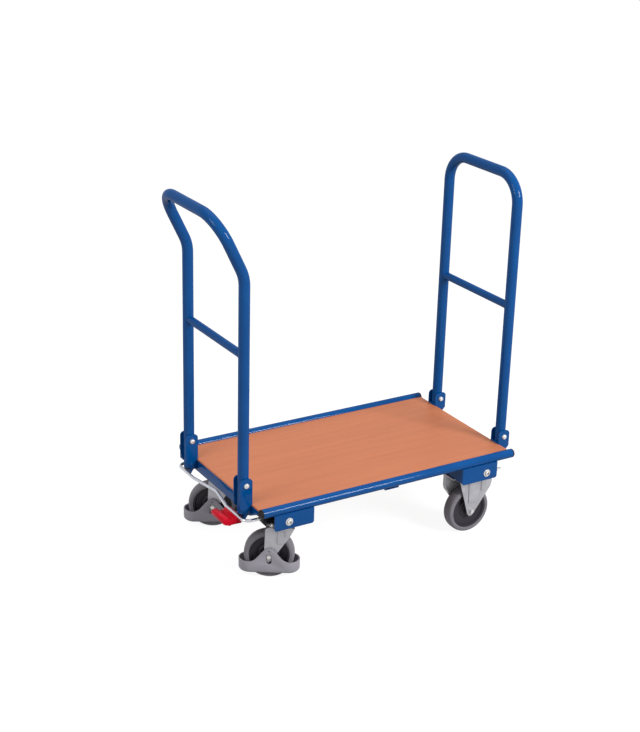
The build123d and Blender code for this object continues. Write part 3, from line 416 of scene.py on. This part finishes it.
def settle():
    """Write the place, turn and size of the selected piece into its mesh."""
    bpy.ops.object.transform_apply(location=True, rotation=True, scale=True)


def edit_all():
    """Edit the active piece with its whole mesh selected."""
    bpy.ops.object.mode_set(mode="EDIT")
    bpy.ops.mesh.select_all(action="SELECT")


def edit_done():
    """Leave edit mode."""
    bpy.ops.object.mode_set(mode="OBJECT")


def select_none(piece):
    """Clear the selection of a mesh, in object mode."""
    for group in (piece.data.polygons, piece.data.edges, piece.data.vertices):
        group.foreach_set("select", [False] * len(group))


def keep_edges(piece, test):
    """In edit mode, keep only those selected edges whose two ends pass a test."""
    edit_done()
    points = piece.data.vertices
    kept = [e for e in piece.data.edges if e.select and test(*[points[v].co for v in e.vertices])]
    select_none(piece)
    for edge in kept:
        edge.select = True
        for corner in edge.vertices:
            points[corner].select = True
    bpy.ops.object.mode_set(mode="EDIT")
    return len(kept)


def edge_mode(piece):
    """Edit a piece in edge mode with nothing selected."""
    hold(piece)
    bpy.context.tool_settings.mesh_select_mode = edges_only
    bpy.ops.object.mode_set(mode="EDIT")
    bpy.ops.mesh.select_all(action="DESELECT")


def pick_edges(piece, test):
    """Edit a piece with those edges selected whose two ends pass a test."""
    edge_mode(piece)
    bpy.ops.mesh.select_all(action="SELECT")
    keep_edges(piece, test)


def pick_points(piece, test):
    """Edit a piece with those points selected whose place passes a test."""
    hold(piece)
    select_none(piece)
    for point in piece.data.vertices:
        point.select = test(point.co)
    bpy.context.tool_settings.mesh_select_mode = points_only
    bpy.ops.object.mode_set(mode="EDIT")


def pick_faces(piece, test):
    """Edit a piece with those faces selected whose direction passes a test."""
    hold(piece)
    select_none(piece)
    for face in piece.data.polygons:
        face.select = test(face.normal)
    bpy.context.tool_settings.mesh_select_mode = faces_only
    bpy.ops.object.mode_set(mode="EDIT")


print("helpers ready")

# %% Helpers for softened pieces
same_point = 0.005 * mm
flat_within = math.radians(0.6)
sharp_from = math.radians(40)
smooth_within = math.radians(38)


def fit(piece, slot, body, *nodes):
    """Give a finished piece its finish, the body it moves with and the CAD nodes it stands for."""
    piece.data.materials.clear()
    piece.data.materials.append(finish_of[slot])
    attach(piece, body)
    if nodes:
        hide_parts(*nodes)


def cad_copy(node, name):
    """A merged copy of a CAD node's mesh, with its flat areas joined into single faces."""
    piece = bpy.data.objects.new(name, frame["nodes"][node].data.copy())
    bpy.context.collection.objects.link(piece)
    edge_mode(piece)
    bpy.ops.mesh.select_all(action="SELECT")
    bpy.ops.mesh.remove_doubles(threshold=same_point)
    bpy.ops.mesh.customdata_custom_splitnormals_clear()
    bpy.ops.mesh.dissolve_limited(angle_limit=flat_within)
    edit_done()
    return piece


def soften(piece, width, rounds=2, shortest=0, below=math.inf):
    """Round the sharp edges of a piece that are long enough and lie low enough, in millimetres."""
    edge_mode(piece)
    bpy.ops.mesh.edges_select_sharp(sharpness=sharp_from)
    count = keep_edges(
        piece, lambda a, b: (a - b).length >= shortest * mm and (a.z + b.z) / 2 <= below * mm
    )
    bpy.ops.mesh.bevel(offset=width * mm, segments=rounds, affect="EDGES", clamp_overlap=True)
    edit_done()
    bpy.ops.object.shade_smooth_by_angle(angle=smooth_within)
    return count


print("helpers ready")

# %% Softened sheet, plastic and fasteners
soft_edges = {
    "castor_housing": {"width": 1.2, "rounds": 3, "shortest": 12, "below": 203},
    "handle_bracket": {"width": 0.8, "shortest": 2.5},
    "end_rail": {"width": 0.6, "shortest": 10},
    "middle_bar": {"width": 0.8, "shortest": 8},
    "castor_plate_left": {"width": 0.5, "shortest": 8},
    "castor_plate_right": {"width": 0.5, "shortest": 8},
    "swivel_bearing_cups": {"width": 1.5, "rounds": 3},
    "brake_levers": {"width": 1.2, "rounds": 3, "shortest": 3},
    "brake_pedal": {"width": 0.6, "rounds": 3},
    "fixed_axles": {"width": 0.6},
    "swivel_axle_left": {"width": 0.6},
    "swivel_axle_right": {"width": 0.6},
    "housing_washers": {"width": 0.35},
    "housing_end_bolts": {"width": 0.5},
}
for node in sorted(frame["nodes"]):
    for ending, sizes in soft_edges.items():
        if node.endswith(ending):
            piece = cad_copy(node, node + "_soft")
            rounded = soften(piece, **sizes)
            fit(piece, slot_of[node], body_of[node], node)
            print(node, "edges rounded:", rounded, "faces:", len(piece.data.polygons))

# %% [markdown]
# ## Tyres and wheel centres
# Each wheel has a grey rubber tyre on a near-black moulded centre. A wheel is round about its
# axle, so its whole shape is in one section. The section is drawn with a single vertex that is
# extruded from point to point, and the spin tool carries it once round the axle. Half of each
# section is written down and the other half is its mirror image. One tyre and one centre are made
# at the world's origin, and every castor gets its own copy.

# %% Draw and spin
round_within = math.radians(32)


def trace(name, points, filled=True):
    """A line drawn by extruding one vertex from point to point, in millimetres."""
    places = [Vector(point) * mm for point in points]
    bpy.ops.mesh.primitive_plane_add(size=mm, location=places[0])
    line = bpy.context.object
    line.name = name
    bpy.context.tool_settings.mesh_select_mode = points_only
    edit_all()
    bpy.ops.mesh.merge(type="CENTER")
    for here, there in zip(places, places[1:]):
        bpy.ops.mesh.extrude_vertices_move(TRANSFORM_OT_translate={"value": there - here})
    if filled:
        bpy.ops.mesh.select_all(action="SELECT")
        bpy.ops.mesh.edge_face_add()
    edit_done()
    settle()
    return line


def closed_line(name, points):
    """A drawn line whose end meets its start, without a face."""
    line = trace(name, points)
    edit_all()
    bpy.ops.mesh.delete(type="ONLY_FACE")
    edit_done()
    return line


def face_outwards():
    """In edit mode, turn every face of the mesh outwards."""
    bpy.ops.mesh.select_all(action="SELECT")
    bpy.ops.mesh.normals_make_consistent(inside=False)


def spun(name, section, axis, steps):
    """A round piece: the outline of its section goes once round an axis through the origin."""
    ring = closed_line(name, section)
    edit_all()
    bpy.ops.mesh.spin(steps=steps, angle=math.tau, center=(0, 0, 0), axis=axis)
    bpy.ops.mesh.select_all(action="SELECT")
    bpy.ops.mesh.remove_doubles(threshold=same_point)
    face_outwards()
    edit_done()
    bpy.ops.object.shade_smooth_by_angle(angle=round_within)
    return ring


print("helpers ready")

# %% One tyre and one centre
wheel_axis = (0, 1, 0)
wheel_steps = 120
tyre_half = [
    (14, 50),
    (15.4, 50.6),
    (16, 51.8),
    (16, 53.2),
    (15.5, 53.7),
    (15.5, 54.3),
    (16, 54.8),
    (15.9, 56.4),
    (15.2, 58.4),
    (13.7, 60.2),
    (11.3, 61.5),
    (8, 62.2),
    (4, 62.4),
    (0, 62.5),
]
centre_half = [
    (18.7, 6.1),
    (18.7, 11.5),
    (17.9, 12.5),
    (9.6, 14.5),
    (8.2, 16),
    (8.2, 19.5),
    (9.5, 20.5),
    (9.5, 23),
    (8.2, 24.2),
    (7.2, 26),
    (9.2, 43.2),
    (12.4, 45.2),
    (13.5, 46.1),
    (13.5, 49.2),
    (12.8, 49.9),
]


def both_sides(half):
    """A section that is the same on both sides of the wheel's middle."""
    return [(0, y, r) for y, r in half] + [(0, -y, r) for y, r in reversed(half) if y > 0]


tyre = spun("tyre", both_sides(tyre_half), wheel_axis, wheel_steps)
centre = spun("centre", both_sides(centre_half), wheel_axis, wheel_steps)
print("tyre faces:", len(tyre.data.polygons), "centre faces:", len(centre.data.polygons))

# %% A tyre and a centre for every castor
origin = Vector((0, 0, 0))
castor_turns = {
    ("fixed", "left"): 0,
    ("fixed", "right"): 0,
    ("swivel", "left"): -29,
    ("swivel", "right"): -32,
}


def middle_of(node):
    """The middle of a CAD node's box."""
    low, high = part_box(node)
    return (low + high) / 2


def copy_at(master, name, spot, turn=0):
    """A copy with its own mesh, turned by degrees about the upright and moved to its spot."""
    piece = master.copy()
    piece.data = master.data.copy()
    piece.name = name
    bpy.context.collection.objects.link(piece)
    piece.matrix_world = Matrix.Translation(spot) @ Matrix.Rotation(math.radians(turn), 4, "Z")
    hold(piece)
    settle()
    return piece


for (kind, side), turn in castor_turns.items():
    hub = middle_of(f"{kind}_wheel_tyre_{side}")
    wheel = f"{kind}_wheel_{side}"
    piece = copy_at(tyre, f"{kind}_tyre_{side}", hub, turn)
    fit(piece, "grey_tyre", wheel, f"{kind}_wheel_tyre_{side}")
    piece = copy_at(centre, f"{kind}_centre_{side}", hub, turn)
    fit(piece, "rim_plastic", wheel, f"{kind}_wheel_rim_{side}")
    print(wheel, "at", [round(v, 4) for v in hub])
bpy.data.objects.remove(tyre)
bpy.data.objects.remove(centre)

# %% [markdown]
# ## Forks
# The forks are pressed from zinc-plated sheet. A leg is a flat blank with a rounded knee and a
# round nose, stiffened by raised ribs that the press pushes out. Its outline is drawn as straight
# lines, the corners are rounded by a vertex bevel, and the filled outline is extruded to the
# thickness of the sheet. The fixed fork's two legs are the same part turned by half a turn, so
# one points its knee forwards and the other one backwards. The edge of the knee is bent inwards.
# The swivel fork's legs are mirror images and hang from a round head.

# %% Helpers for sheet pieces


def round_corner(piece, corner, reach, steps):
    """Round one corner of a drawn outline; reach is where the curve meets each side."""
    spot = Vector(corner) * mm
    nearest = min((v.co.copy() for v in piece.data.vertices), key=lambda p: (p - spot).length)
    pick_points(piece, lambda p: p == nearest)
    bpy.ops.mesh.bevel(
        offset_type="ABSOLUTE",
        offset=reach * mm,
        segments=steps,
        affect="VERTICES",
        clamp_overlap=False,
    )
    edit_done()


def thicken(piece, across):
    """Extrude a drawn sheet across its face, along Y."""
    hold(piece)
    edit_all()
    bpy.ops.mesh.extrude_region_move(TRANSFORM_OT_translate={"value": (0, across * mm, 0)})
    face_outwards()
    edit_done()


def give_wall(piece, thickness, offset, even=False):
    """Turn a surface into a wall with a Solidify modifier."""
    hold(piece)
    wall = piece.modifiers.new("wall", "SOLIDIFY")
    wall.thickness = thickness * mm
    wall.offset = offset
    wall.use_even_offset = even
    bpy.ops.object.modifier_apply(modifier=wall.name)


def block(name, size, middle):
    """A box, with its size and its middle in millimetres."""
    bpy.ops.mesh.primitive_cube_add(size=1, location=[v * mm for v in middle])
    piece = bpy.context.object
    piece.name = name
    piece.scale = [v * mm for v in size]
    settle()
    return piece


def joined(first, *others):
    """Join pieces into the first one."""
    hold(first)
    for other in others:
        other.select_set(True)
    bpy.ops.object.join()
    return first


def at_castors(master, kind, name, slot, body, node):
    """A copy at both castors of a kind; {} in a name stands for left or right."""
    for side in ("left", "right"):
        hub = middle_of(f"{kind}_wheel_tyre_{side}")
        spot = Vector((hub.x, hub.y, 0))
        piece = copy_at(master, name.format(side), spot, castor_turns[kind, side])
        fit(piece, slot, body.format(side), node.format(side))
        print(piece.name, "faces:", len(piece.data.polygons))
    bpy.data.objects.remove(master)


print("helpers ready")

# %% Helpers for pressed legs
leg_outside = -22.5
leg_sheet = 3
leg_edge = 0.6
rib_sunk = 0.4
rib_rounds = 4


def pressed_rib(name, outline, slope, height):
    """A raised rib on a leg's outer face, with soft flanks."""
    rib = trace(name, [(x, leg_outside + rib_sunk, z) for x, z in outline])
    thicken(rib, -height - rib_sunk)
    soften(rib, slope, rounds=rib_rounds)
    return rib


def pressed_leg(name, outline, knee_reach, nose_reach, back_reach=0):
    """A leg cut from sheet: its outline starts at the back and ends with the knee and the nose."""
    corners = [(x, leg_outside, z) for x, z in outline]
    leg = trace(name, corners)
    round_corner(leg, corners[-2], knee_reach, steps=8)
    round_corner(leg, corners[-1], nose_reach, steps=14)
    if back_reach:
        round_corner(leg, corners[0], back_reach, steps=8)
    thicken(leg, leg_sheet)
    soften(leg, leg_edge)
    return leg


print("helpers ready")

# %% Leg of the fixed fork
fork_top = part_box("fixed_fork_left")[1].z / mm
leg_outline = [(-43, fork_top), (62, fork_top), (62, 126.5), (-4.7, 35.9)]
panel_outline = [(-12, 163), (17, 163), (19, 86.5), (-10, 86.5)]
side_outline = [(28, 163), (44, 163), (44, 114.5), (28, 114.5)]
knee_line = [(60.4, 164), (60.4, 137), (59.8, 131.5), (58, 125.6), (54.7, 119.4), (48.2, 110.4)]
knee_inset = 1.5
knee_depth = 10
knee_sheet = 2.8

leg = pressed_leg("leg", leg_outline, knee_reach=9.9, nose_reach=24.2)
panel = pressed_rib("panel", panel_outline, slope=2.6, height=2.4)
side_rib = pressed_rib("side_rib", side_outline, slope=2.2, height=2)
knee_points = [(x, leg_outside + knee_inset, z) for x, z in knee_line]
knee_edge = trace("knee_edge", knee_points, filled=False)
edit_all()
bpy.ops.mesh.extrude_edges_move(TRANSFORM_OT_translate={"value": (0, knee_depth * mm, 0)})
edit_done()
give_wall(knee_edge, knee_sheet, offset=0)
soften(knee_edge, width=0.5)
leg = joined(leg, panel, side_rib, knee_edge)
print("leg faces:", len(leg.data.polygons))

# %% Fixed forks
top_size = (123, 43, 2.8)
top_drop = 1.6
plate_edge = 0.8
other_leg = copy_at(leg, "other_leg", origin, 180)
top_plate = block("top_plate", top_size, (0, 0, fork_top - top_drop))
soften(top_plate, plate_edge)
fixed_fork = joined(leg, other_leg, top_plate)
at_castors(
    fixed_fork, "fixed", "fixed_fork_{}_pressed", "zinc_sheet", "frame", "fixed_fork_{}"
)

# %% Legs of the swivel fork
shoulder = 140
leg_outline = [(-10, shoulder), (62, shoulder), (50, 116), (-13.07, 21.18)]
near_outline = [(20, 137), (34, 137), (34, 97), (20, 97)]
far_outline = [(38.5, 137), (48.5, 137), (44.5, 114), (38.5, 114)]

leg = pressed_leg("leg", leg_outline, knee_reach=1.85, nose_reach=41.64, back_reach=9.7)
near_rib = pressed_rib("near_rib", near_outline, slope=2.9, height=3)
far_rib = pressed_rib("far_rib", far_outline, slope=1.4, height=1.3)
leg = joined(leg, near_rib, far_rib)
other_leg = copy_at(leg, "other_leg", origin)
other_leg.scale.y = -1
settle()
bpy.ops.object.mode_set(mode="EDIT")
face_outwards()
edit_done()
print("leg faces:", len(leg.data.polygons))

# %% Head of the swivel fork
trail = 31
bridge_size = (61.4, 42, 2.8)
bridge_drop = 1.5
head_section = [
    (6.1, 0, 151.6),
    (6.1, 0, 154.4),
    (24, 0, 154.4),
    (27.4, 0, 153.4),
    (29.4, 0, 151.2),
    (30, 0, 148),
    (30, 0, 137.2),
    (27, 0, 137.2),
    (27, 0, 150),
    (25.4, 0, 151.6),
]
bridge = block("bridge", bridge_size, (trail, 0, shoulder - bridge_drop))
soften(bridge, plate_edge)
head = spun("head", head_section, axis=(0, 0, 1), steps=72)
head.location.x = trail * mm
settle()
swivel_fork = joined(leg, other_leg, bridge, head)
at_castors(
    swivel_fork, "swivel", "swivel_fork_{}_pressed", "zinc_sheet", "swivel_{}", "swivel_fork_{}"
)

# %% [markdown]
# ## Toe guards
# A moulded guard rings the foot of each swivel wheel and rises to a hump over the axle, with a
# slot that shows the axle nut. It starts as a cube. Bevelling the four upright edges by half the
# width turns it into a long oval, and a second bevel rounds the foot. With top and bottom taken
# away it is a thin shell. The upper edge of each long side is divided and its points are lifted
# into the hump, and a Solidify modifier then gives the wall its thickness. The slot and a small
# pin hole above it are cut with Boolean modifiers. A pad inside each hump fills the gap between
# the guard and the fork's leg.

# %% Guard shell
guard_length = 151
guard_width = 58
guard_foot = 17.5
guard_band = 48
guard_middle = (guard_foot + guard_band) / 2
oval_gap = 0.01
oval_seam = 0.05
oval_rounds = 16
foot_bevel = 8
foot_rounds = 5
near = 0.1
same_step = 0.01
level = 0.99

guard = block(
    "guard", (guard_length, guard_width, guard_band - guard_foot), (0, 0, guard_middle)
)
pick_edges(guard, lambda a, b: abs(a.z - b.z) > near * mm)
oval_bevel = guard_width / 2 - oval_gap
bpy.ops.mesh.bevel(
    offset=oval_bevel * mm, segments=oval_rounds, affect="EDGES", clamp_overlap=False
)
bpy.ops.mesh.select_all(action="SELECT")
bpy.ops.mesh.remove_doubles(threshold=oval_seam * mm)
edit_done()
pick_edges(guard, lambda a, b: max(a.z, b.z) < (guard_foot + near) * mm)
bpy.ops.mesh.bevel(
    offset=foot_bevel * mm, segments=foot_rounds, affect="EDGES", clamp_overlap=False
)
edit_done()
pick_faces(guard, lambda direction: abs(direction.z) > level)
bpy.ops.mesh.delete(type="FACE")
edit_done()
print("guard faces:", len(guard.data.polygons))

# %% Guard hump and wall
guard_wall = 3
hump_rise = 36
hump_slope = math.radians(50)
hump_cuts = 45
peak_round = 19.6
foot_round = 30
foot_end = 53.52
slope_foot = 39.53


def hump(along):
    """The height of the hump over the band: a round peak, a straight flank and a hollow foot."""
    along = abs(along)
    if along >= foot_end:
        return 0
    if along >= foot_end - foot_round * math.sin(hump_slope):
        return foot_round - math.sqrt(foot_round**2 - (foot_end - along) ** 2)
    if along <= peak_round * math.sin(hump_slope):
        return hump_rise - peak_round + math.sqrt(peak_round**2 - along**2)
    return (slope_foot - along) * math.tan(hump_slope)


def on_rim(point):
    """Whether a point lies on the guard's upper edge."""
    return point.z > (guard_band - near) * mm


def on_side(point):
    """Whether a point lies on the upper edge of one of the guard's flat sides."""
    return on_rim(point) and abs(abs(point.y) - guard_width / 2 * mm) < near * mm


pick_edges(guard, lambda a, b: on_side(a) and on_side(b))
bpy.ops.mesh.subdivide(number_cuts=hump_cuts)
edit_done()
steps = sorted({round(v.co.x / mm, 3) for v in guard.data.vertices if on_rim(v.co)})
for along in steps:
    lift = hump(along)
    if lift > 0:
        pick_points(guard, lambda p: on_rim(p) and abs(p.x / mm - along) < same_step)
        bpy.ops.transform.translate(value=(0, 0, lift * mm))
        edit_done()
give_wall(guard, guard_wall, offset=-1, even=True)
print("hump points:", len(steps), "guard faces:", len(guard.data.polygons))

# %% Guard slots
axle_height = middle_of("swivel_wheel_tyre_left").z / mm
slot_radius = 7
slot_stretch = 13
pin_radius = 2.25
pin_rise = 15.5
cut_depth = 2 * guard_width
along_y = (math.pi / 2, 0, 0)
round_sides = 48


def cylinder(name, sides, radius, depth, spot, turn=(0, 0, 0)):
    """A cylinder at a spot, upright unless turned, with its sizes in millimetres."""
    bpy.ops.mesh.primitive_cylinder_add(
        vertices=sides, radius=radius * mm, depth=depth * mm, location=spot, rotation=turn
    )
    piece = bpy.context.object
    piece.name = name
    settle()
    return piece


def slot_block():
    """A block with the slot's outline: a cylinder along Y with its lower half drawn down."""
    spot = (0, 0, axle_height * mm)
    slot = cylinder("slot", round_sides, slot_radius, cut_depth, spot, along_y)
    pick_points(slot, lambda p: p.z < (axle_height - near) * mm)
    bpy.ops.transform.translate(value=(0, 0, -slot_stretch * mm))
    edit_done()
    return slot


def cut(piece, cutter):
    """Cut a block out of a piece with a Boolean modifier."""
    hold(piece)
    hole = piece.modifiers.new("hole", "BOOLEAN")
    hole.operation = "DIFFERENCE"
    hole.solver = "EXACT"
    hole.object = cutter
    bpy.ops.object.modifier_apply(modifier=hole.name)
    bpy.data.objects.remove(cutter)


pin_spot = (0, 0, (axle_height + pin_rise) * mm)
cut(guard, slot_block())
cut(guard, cylinder("pin_hole", round_sides, pin_radius, cut_depth, pin_spot, along_y))
soften(guard, width=0.6)
print("guard faces:", len(guard.data.polygons))

# %% Guard pads and copies
pad_half = 22
pad_foot = 38
pad_face = -26.2
pad_depth = 3.4
pad_drop = 0.7
pad_cuts = 11
pad_steps = [pad_half * step / pad_cuts for step in range(-pad_cuts, pad_cuts + 1)]
crest = [(along, pad_face, guard_band + hump(along) - pad_drop) for along in pad_steps]
pad = trace("pad", [(-pad_half, pad_face, pad_foot), *crest, (pad_half, pad_face, pad_foot)])
thicken(pad, pad_depth)
cut(pad, slot_block())
soften(pad, width=0.4)
far_pad = copy_at(pad, "far_pad", origin, 180)
guard = joined(guard, pad, far_pad)
at_castors(
    guard, "swivel", "toe_guard_{}_moulded", "guard_plastic", "swivel_{}", "toe_guard_{}"
)

# %% [markdown]
# ## Bolts
# The castor plates are held by round-headed bolts with a hexagon socket, on washers. The heads
# are softened copies of the CAD bolts, and a six-sided cylinder cuts each socket, turned a little
# differently on each one, as the key leaves them. In the open mouth of each push-end housing a
# hexagon bolt on the castor plate can be seen beside the brake lever. It is a six-sided cylinder
# with its upper face inset and the rim bevelled, on a thin washer.

# %% Bolts with sockets
hexagon_sides = 6
socket_radius = 4.4
socket_depth = 8.4
socket_turns = iter((12, 33, 47, 5))
washer_radius = 10 * mm
housing_bolts = cad_copy("housing_bolts", "housing_bolts_soft")
soften(housing_bolts, width=0.4)
low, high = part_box("housing_bolts")
washer_low, washer_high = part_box("housing_washers")
bolt_spots = [
    (washer_low.x + washer_radius, washer_high.z - washer_radius),
    (washer_high.x - washer_radius, washer_low.z + washer_radius),
]
for x, z in bolt_spots:
    for y in (low.y, high.y):
        socket_turn = (math.pi / 2, math.radians(next(socket_turns)), 0)
        socket = cylinder(
            "socket", hexagon_sides, socket_radius, socket_depth, (x, y, z), socket_turn
        )
        cut(housing_bolts, socket)
bpy.ops.object.shade_smooth_by_angle(angle=smooth_within)
fit(housing_bolts, "zinc_fastener", "frame", "housing_bolts")
print("bolt faces:", len(housing_bolts.data.polygons))

# %% Hexagon bolts in the housing mouths
hexagon_radius = 6.2
hexagon_height = 3.6
hexagon_middle = 3.2
crown_inset = 1.1
crown_rise = 0.4
upward = 0.9
disc_radius = 6.6
disc_height = 1.4
plate_thickness = 3
bolt_inset = 7
bolt_spread = 196.2
bolt_turn = 17

hexagon_spot = (0, 0, hexagon_middle * mm)
hexagon = cylinder("hexagon", hexagon_sides, hexagon_radius, hexagon_height, hexagon_spot)
pick_faces(hexagon, lambda direction: direction.z > upward)
bpy.ops.mesh.inset(thickness=crown_inset * mm)
bpy.ops.transform.translate(value=(0, 0, crown_rise * mm))
edit_done()
soften(hexagon, width=0.5)
disc = cylinder("disc", round_sides, disc_radius, disc_height, (0, 0, disc_height / 2 * mm))
soften(disc, width=0.3)
hexagon = joined(hexagon, disc)
plate_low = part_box("swivel_castor_plate_left")[0]
bolt_x = plate_low.x + bolt_inset * mm
bolt_z = plate_low.z + plate_thickness * mm
for side, way in (("left", 1), ("right", -1)):
    spot = Vector((bolt_x, way * bolt_spread * mm, bolt_z))
    piece = copy_at(hexagon, f"plate_bolt_{side}", spot, bolt_turn * way)
    fit(piece, "zinc_fastener", "frame")
    print(piece.name, "at", [round(v, 4) for v in spot])
bpy.data.objects.remove(hexagon)

# %% [markdown]
# ## Weld beads
# The crossbars are welded to the handle posts. A weld leaves a narrow rippled bead along the line
# where the two tubes meet, which is a saddle-shaped loop. The loop is drawn point by point, made a
# curve with a round section, and turned back into a mesh. Points that are alternately thicker and
# thinner give the ripples.

# %% Beads at the crossbars
post_radius = 13.5
post_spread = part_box("push_handle_tube")[1].y / mm - post_radius
bar_radius = 10
bead_points = 40
bead_radius = 1.5
bead_rounds = 3
bead_ripple = 0.12


def weld_bead(name, bar_node, way):
    """One bead round the end of a crossbar, on the inner side of a post."""
    bar = middle_of(bar_node) / mm
    loop = []
    for step in range(bead_points):
        angle = math.tau * step / bead_points
        x = bar_radius * math.cos(angle)
        y = way * (post_spread - math.sqrt(post_radius**2 - x**2))
        loop.append((bar.x + x, y, bar.z + bar_radius * math.sin(angle)))
    bead = closed_line(name, loop)
    bpy.ops.object.convert(target="CURVE")
    bead.data.bevel_depth = bead_radius * mm
    bead.data.bevel_resolution = bead_rounds
    for spline in bead.data.splines:
        for step, point in enumerate(spline.points):
            point.radius = 1 + bead_ripple if step % 2 else 1 - bead_ripple
    bpy.ops.object.convert(target="MESH")
    bead = bpy.context.object
    bpy.ops.object.shade_smooth()
    return bead


for end in ("push", "front"):
    for side, way in (("left", 1), ("right", -1)):
        bead = weld_bead(f"{end}_bead_{side}", f"{end}_handle_crossbar", way)
        fit(bead, "blue_paint", f"{end}_handle")
        print(bead.name, "faces:", len(bead.data.polygons))
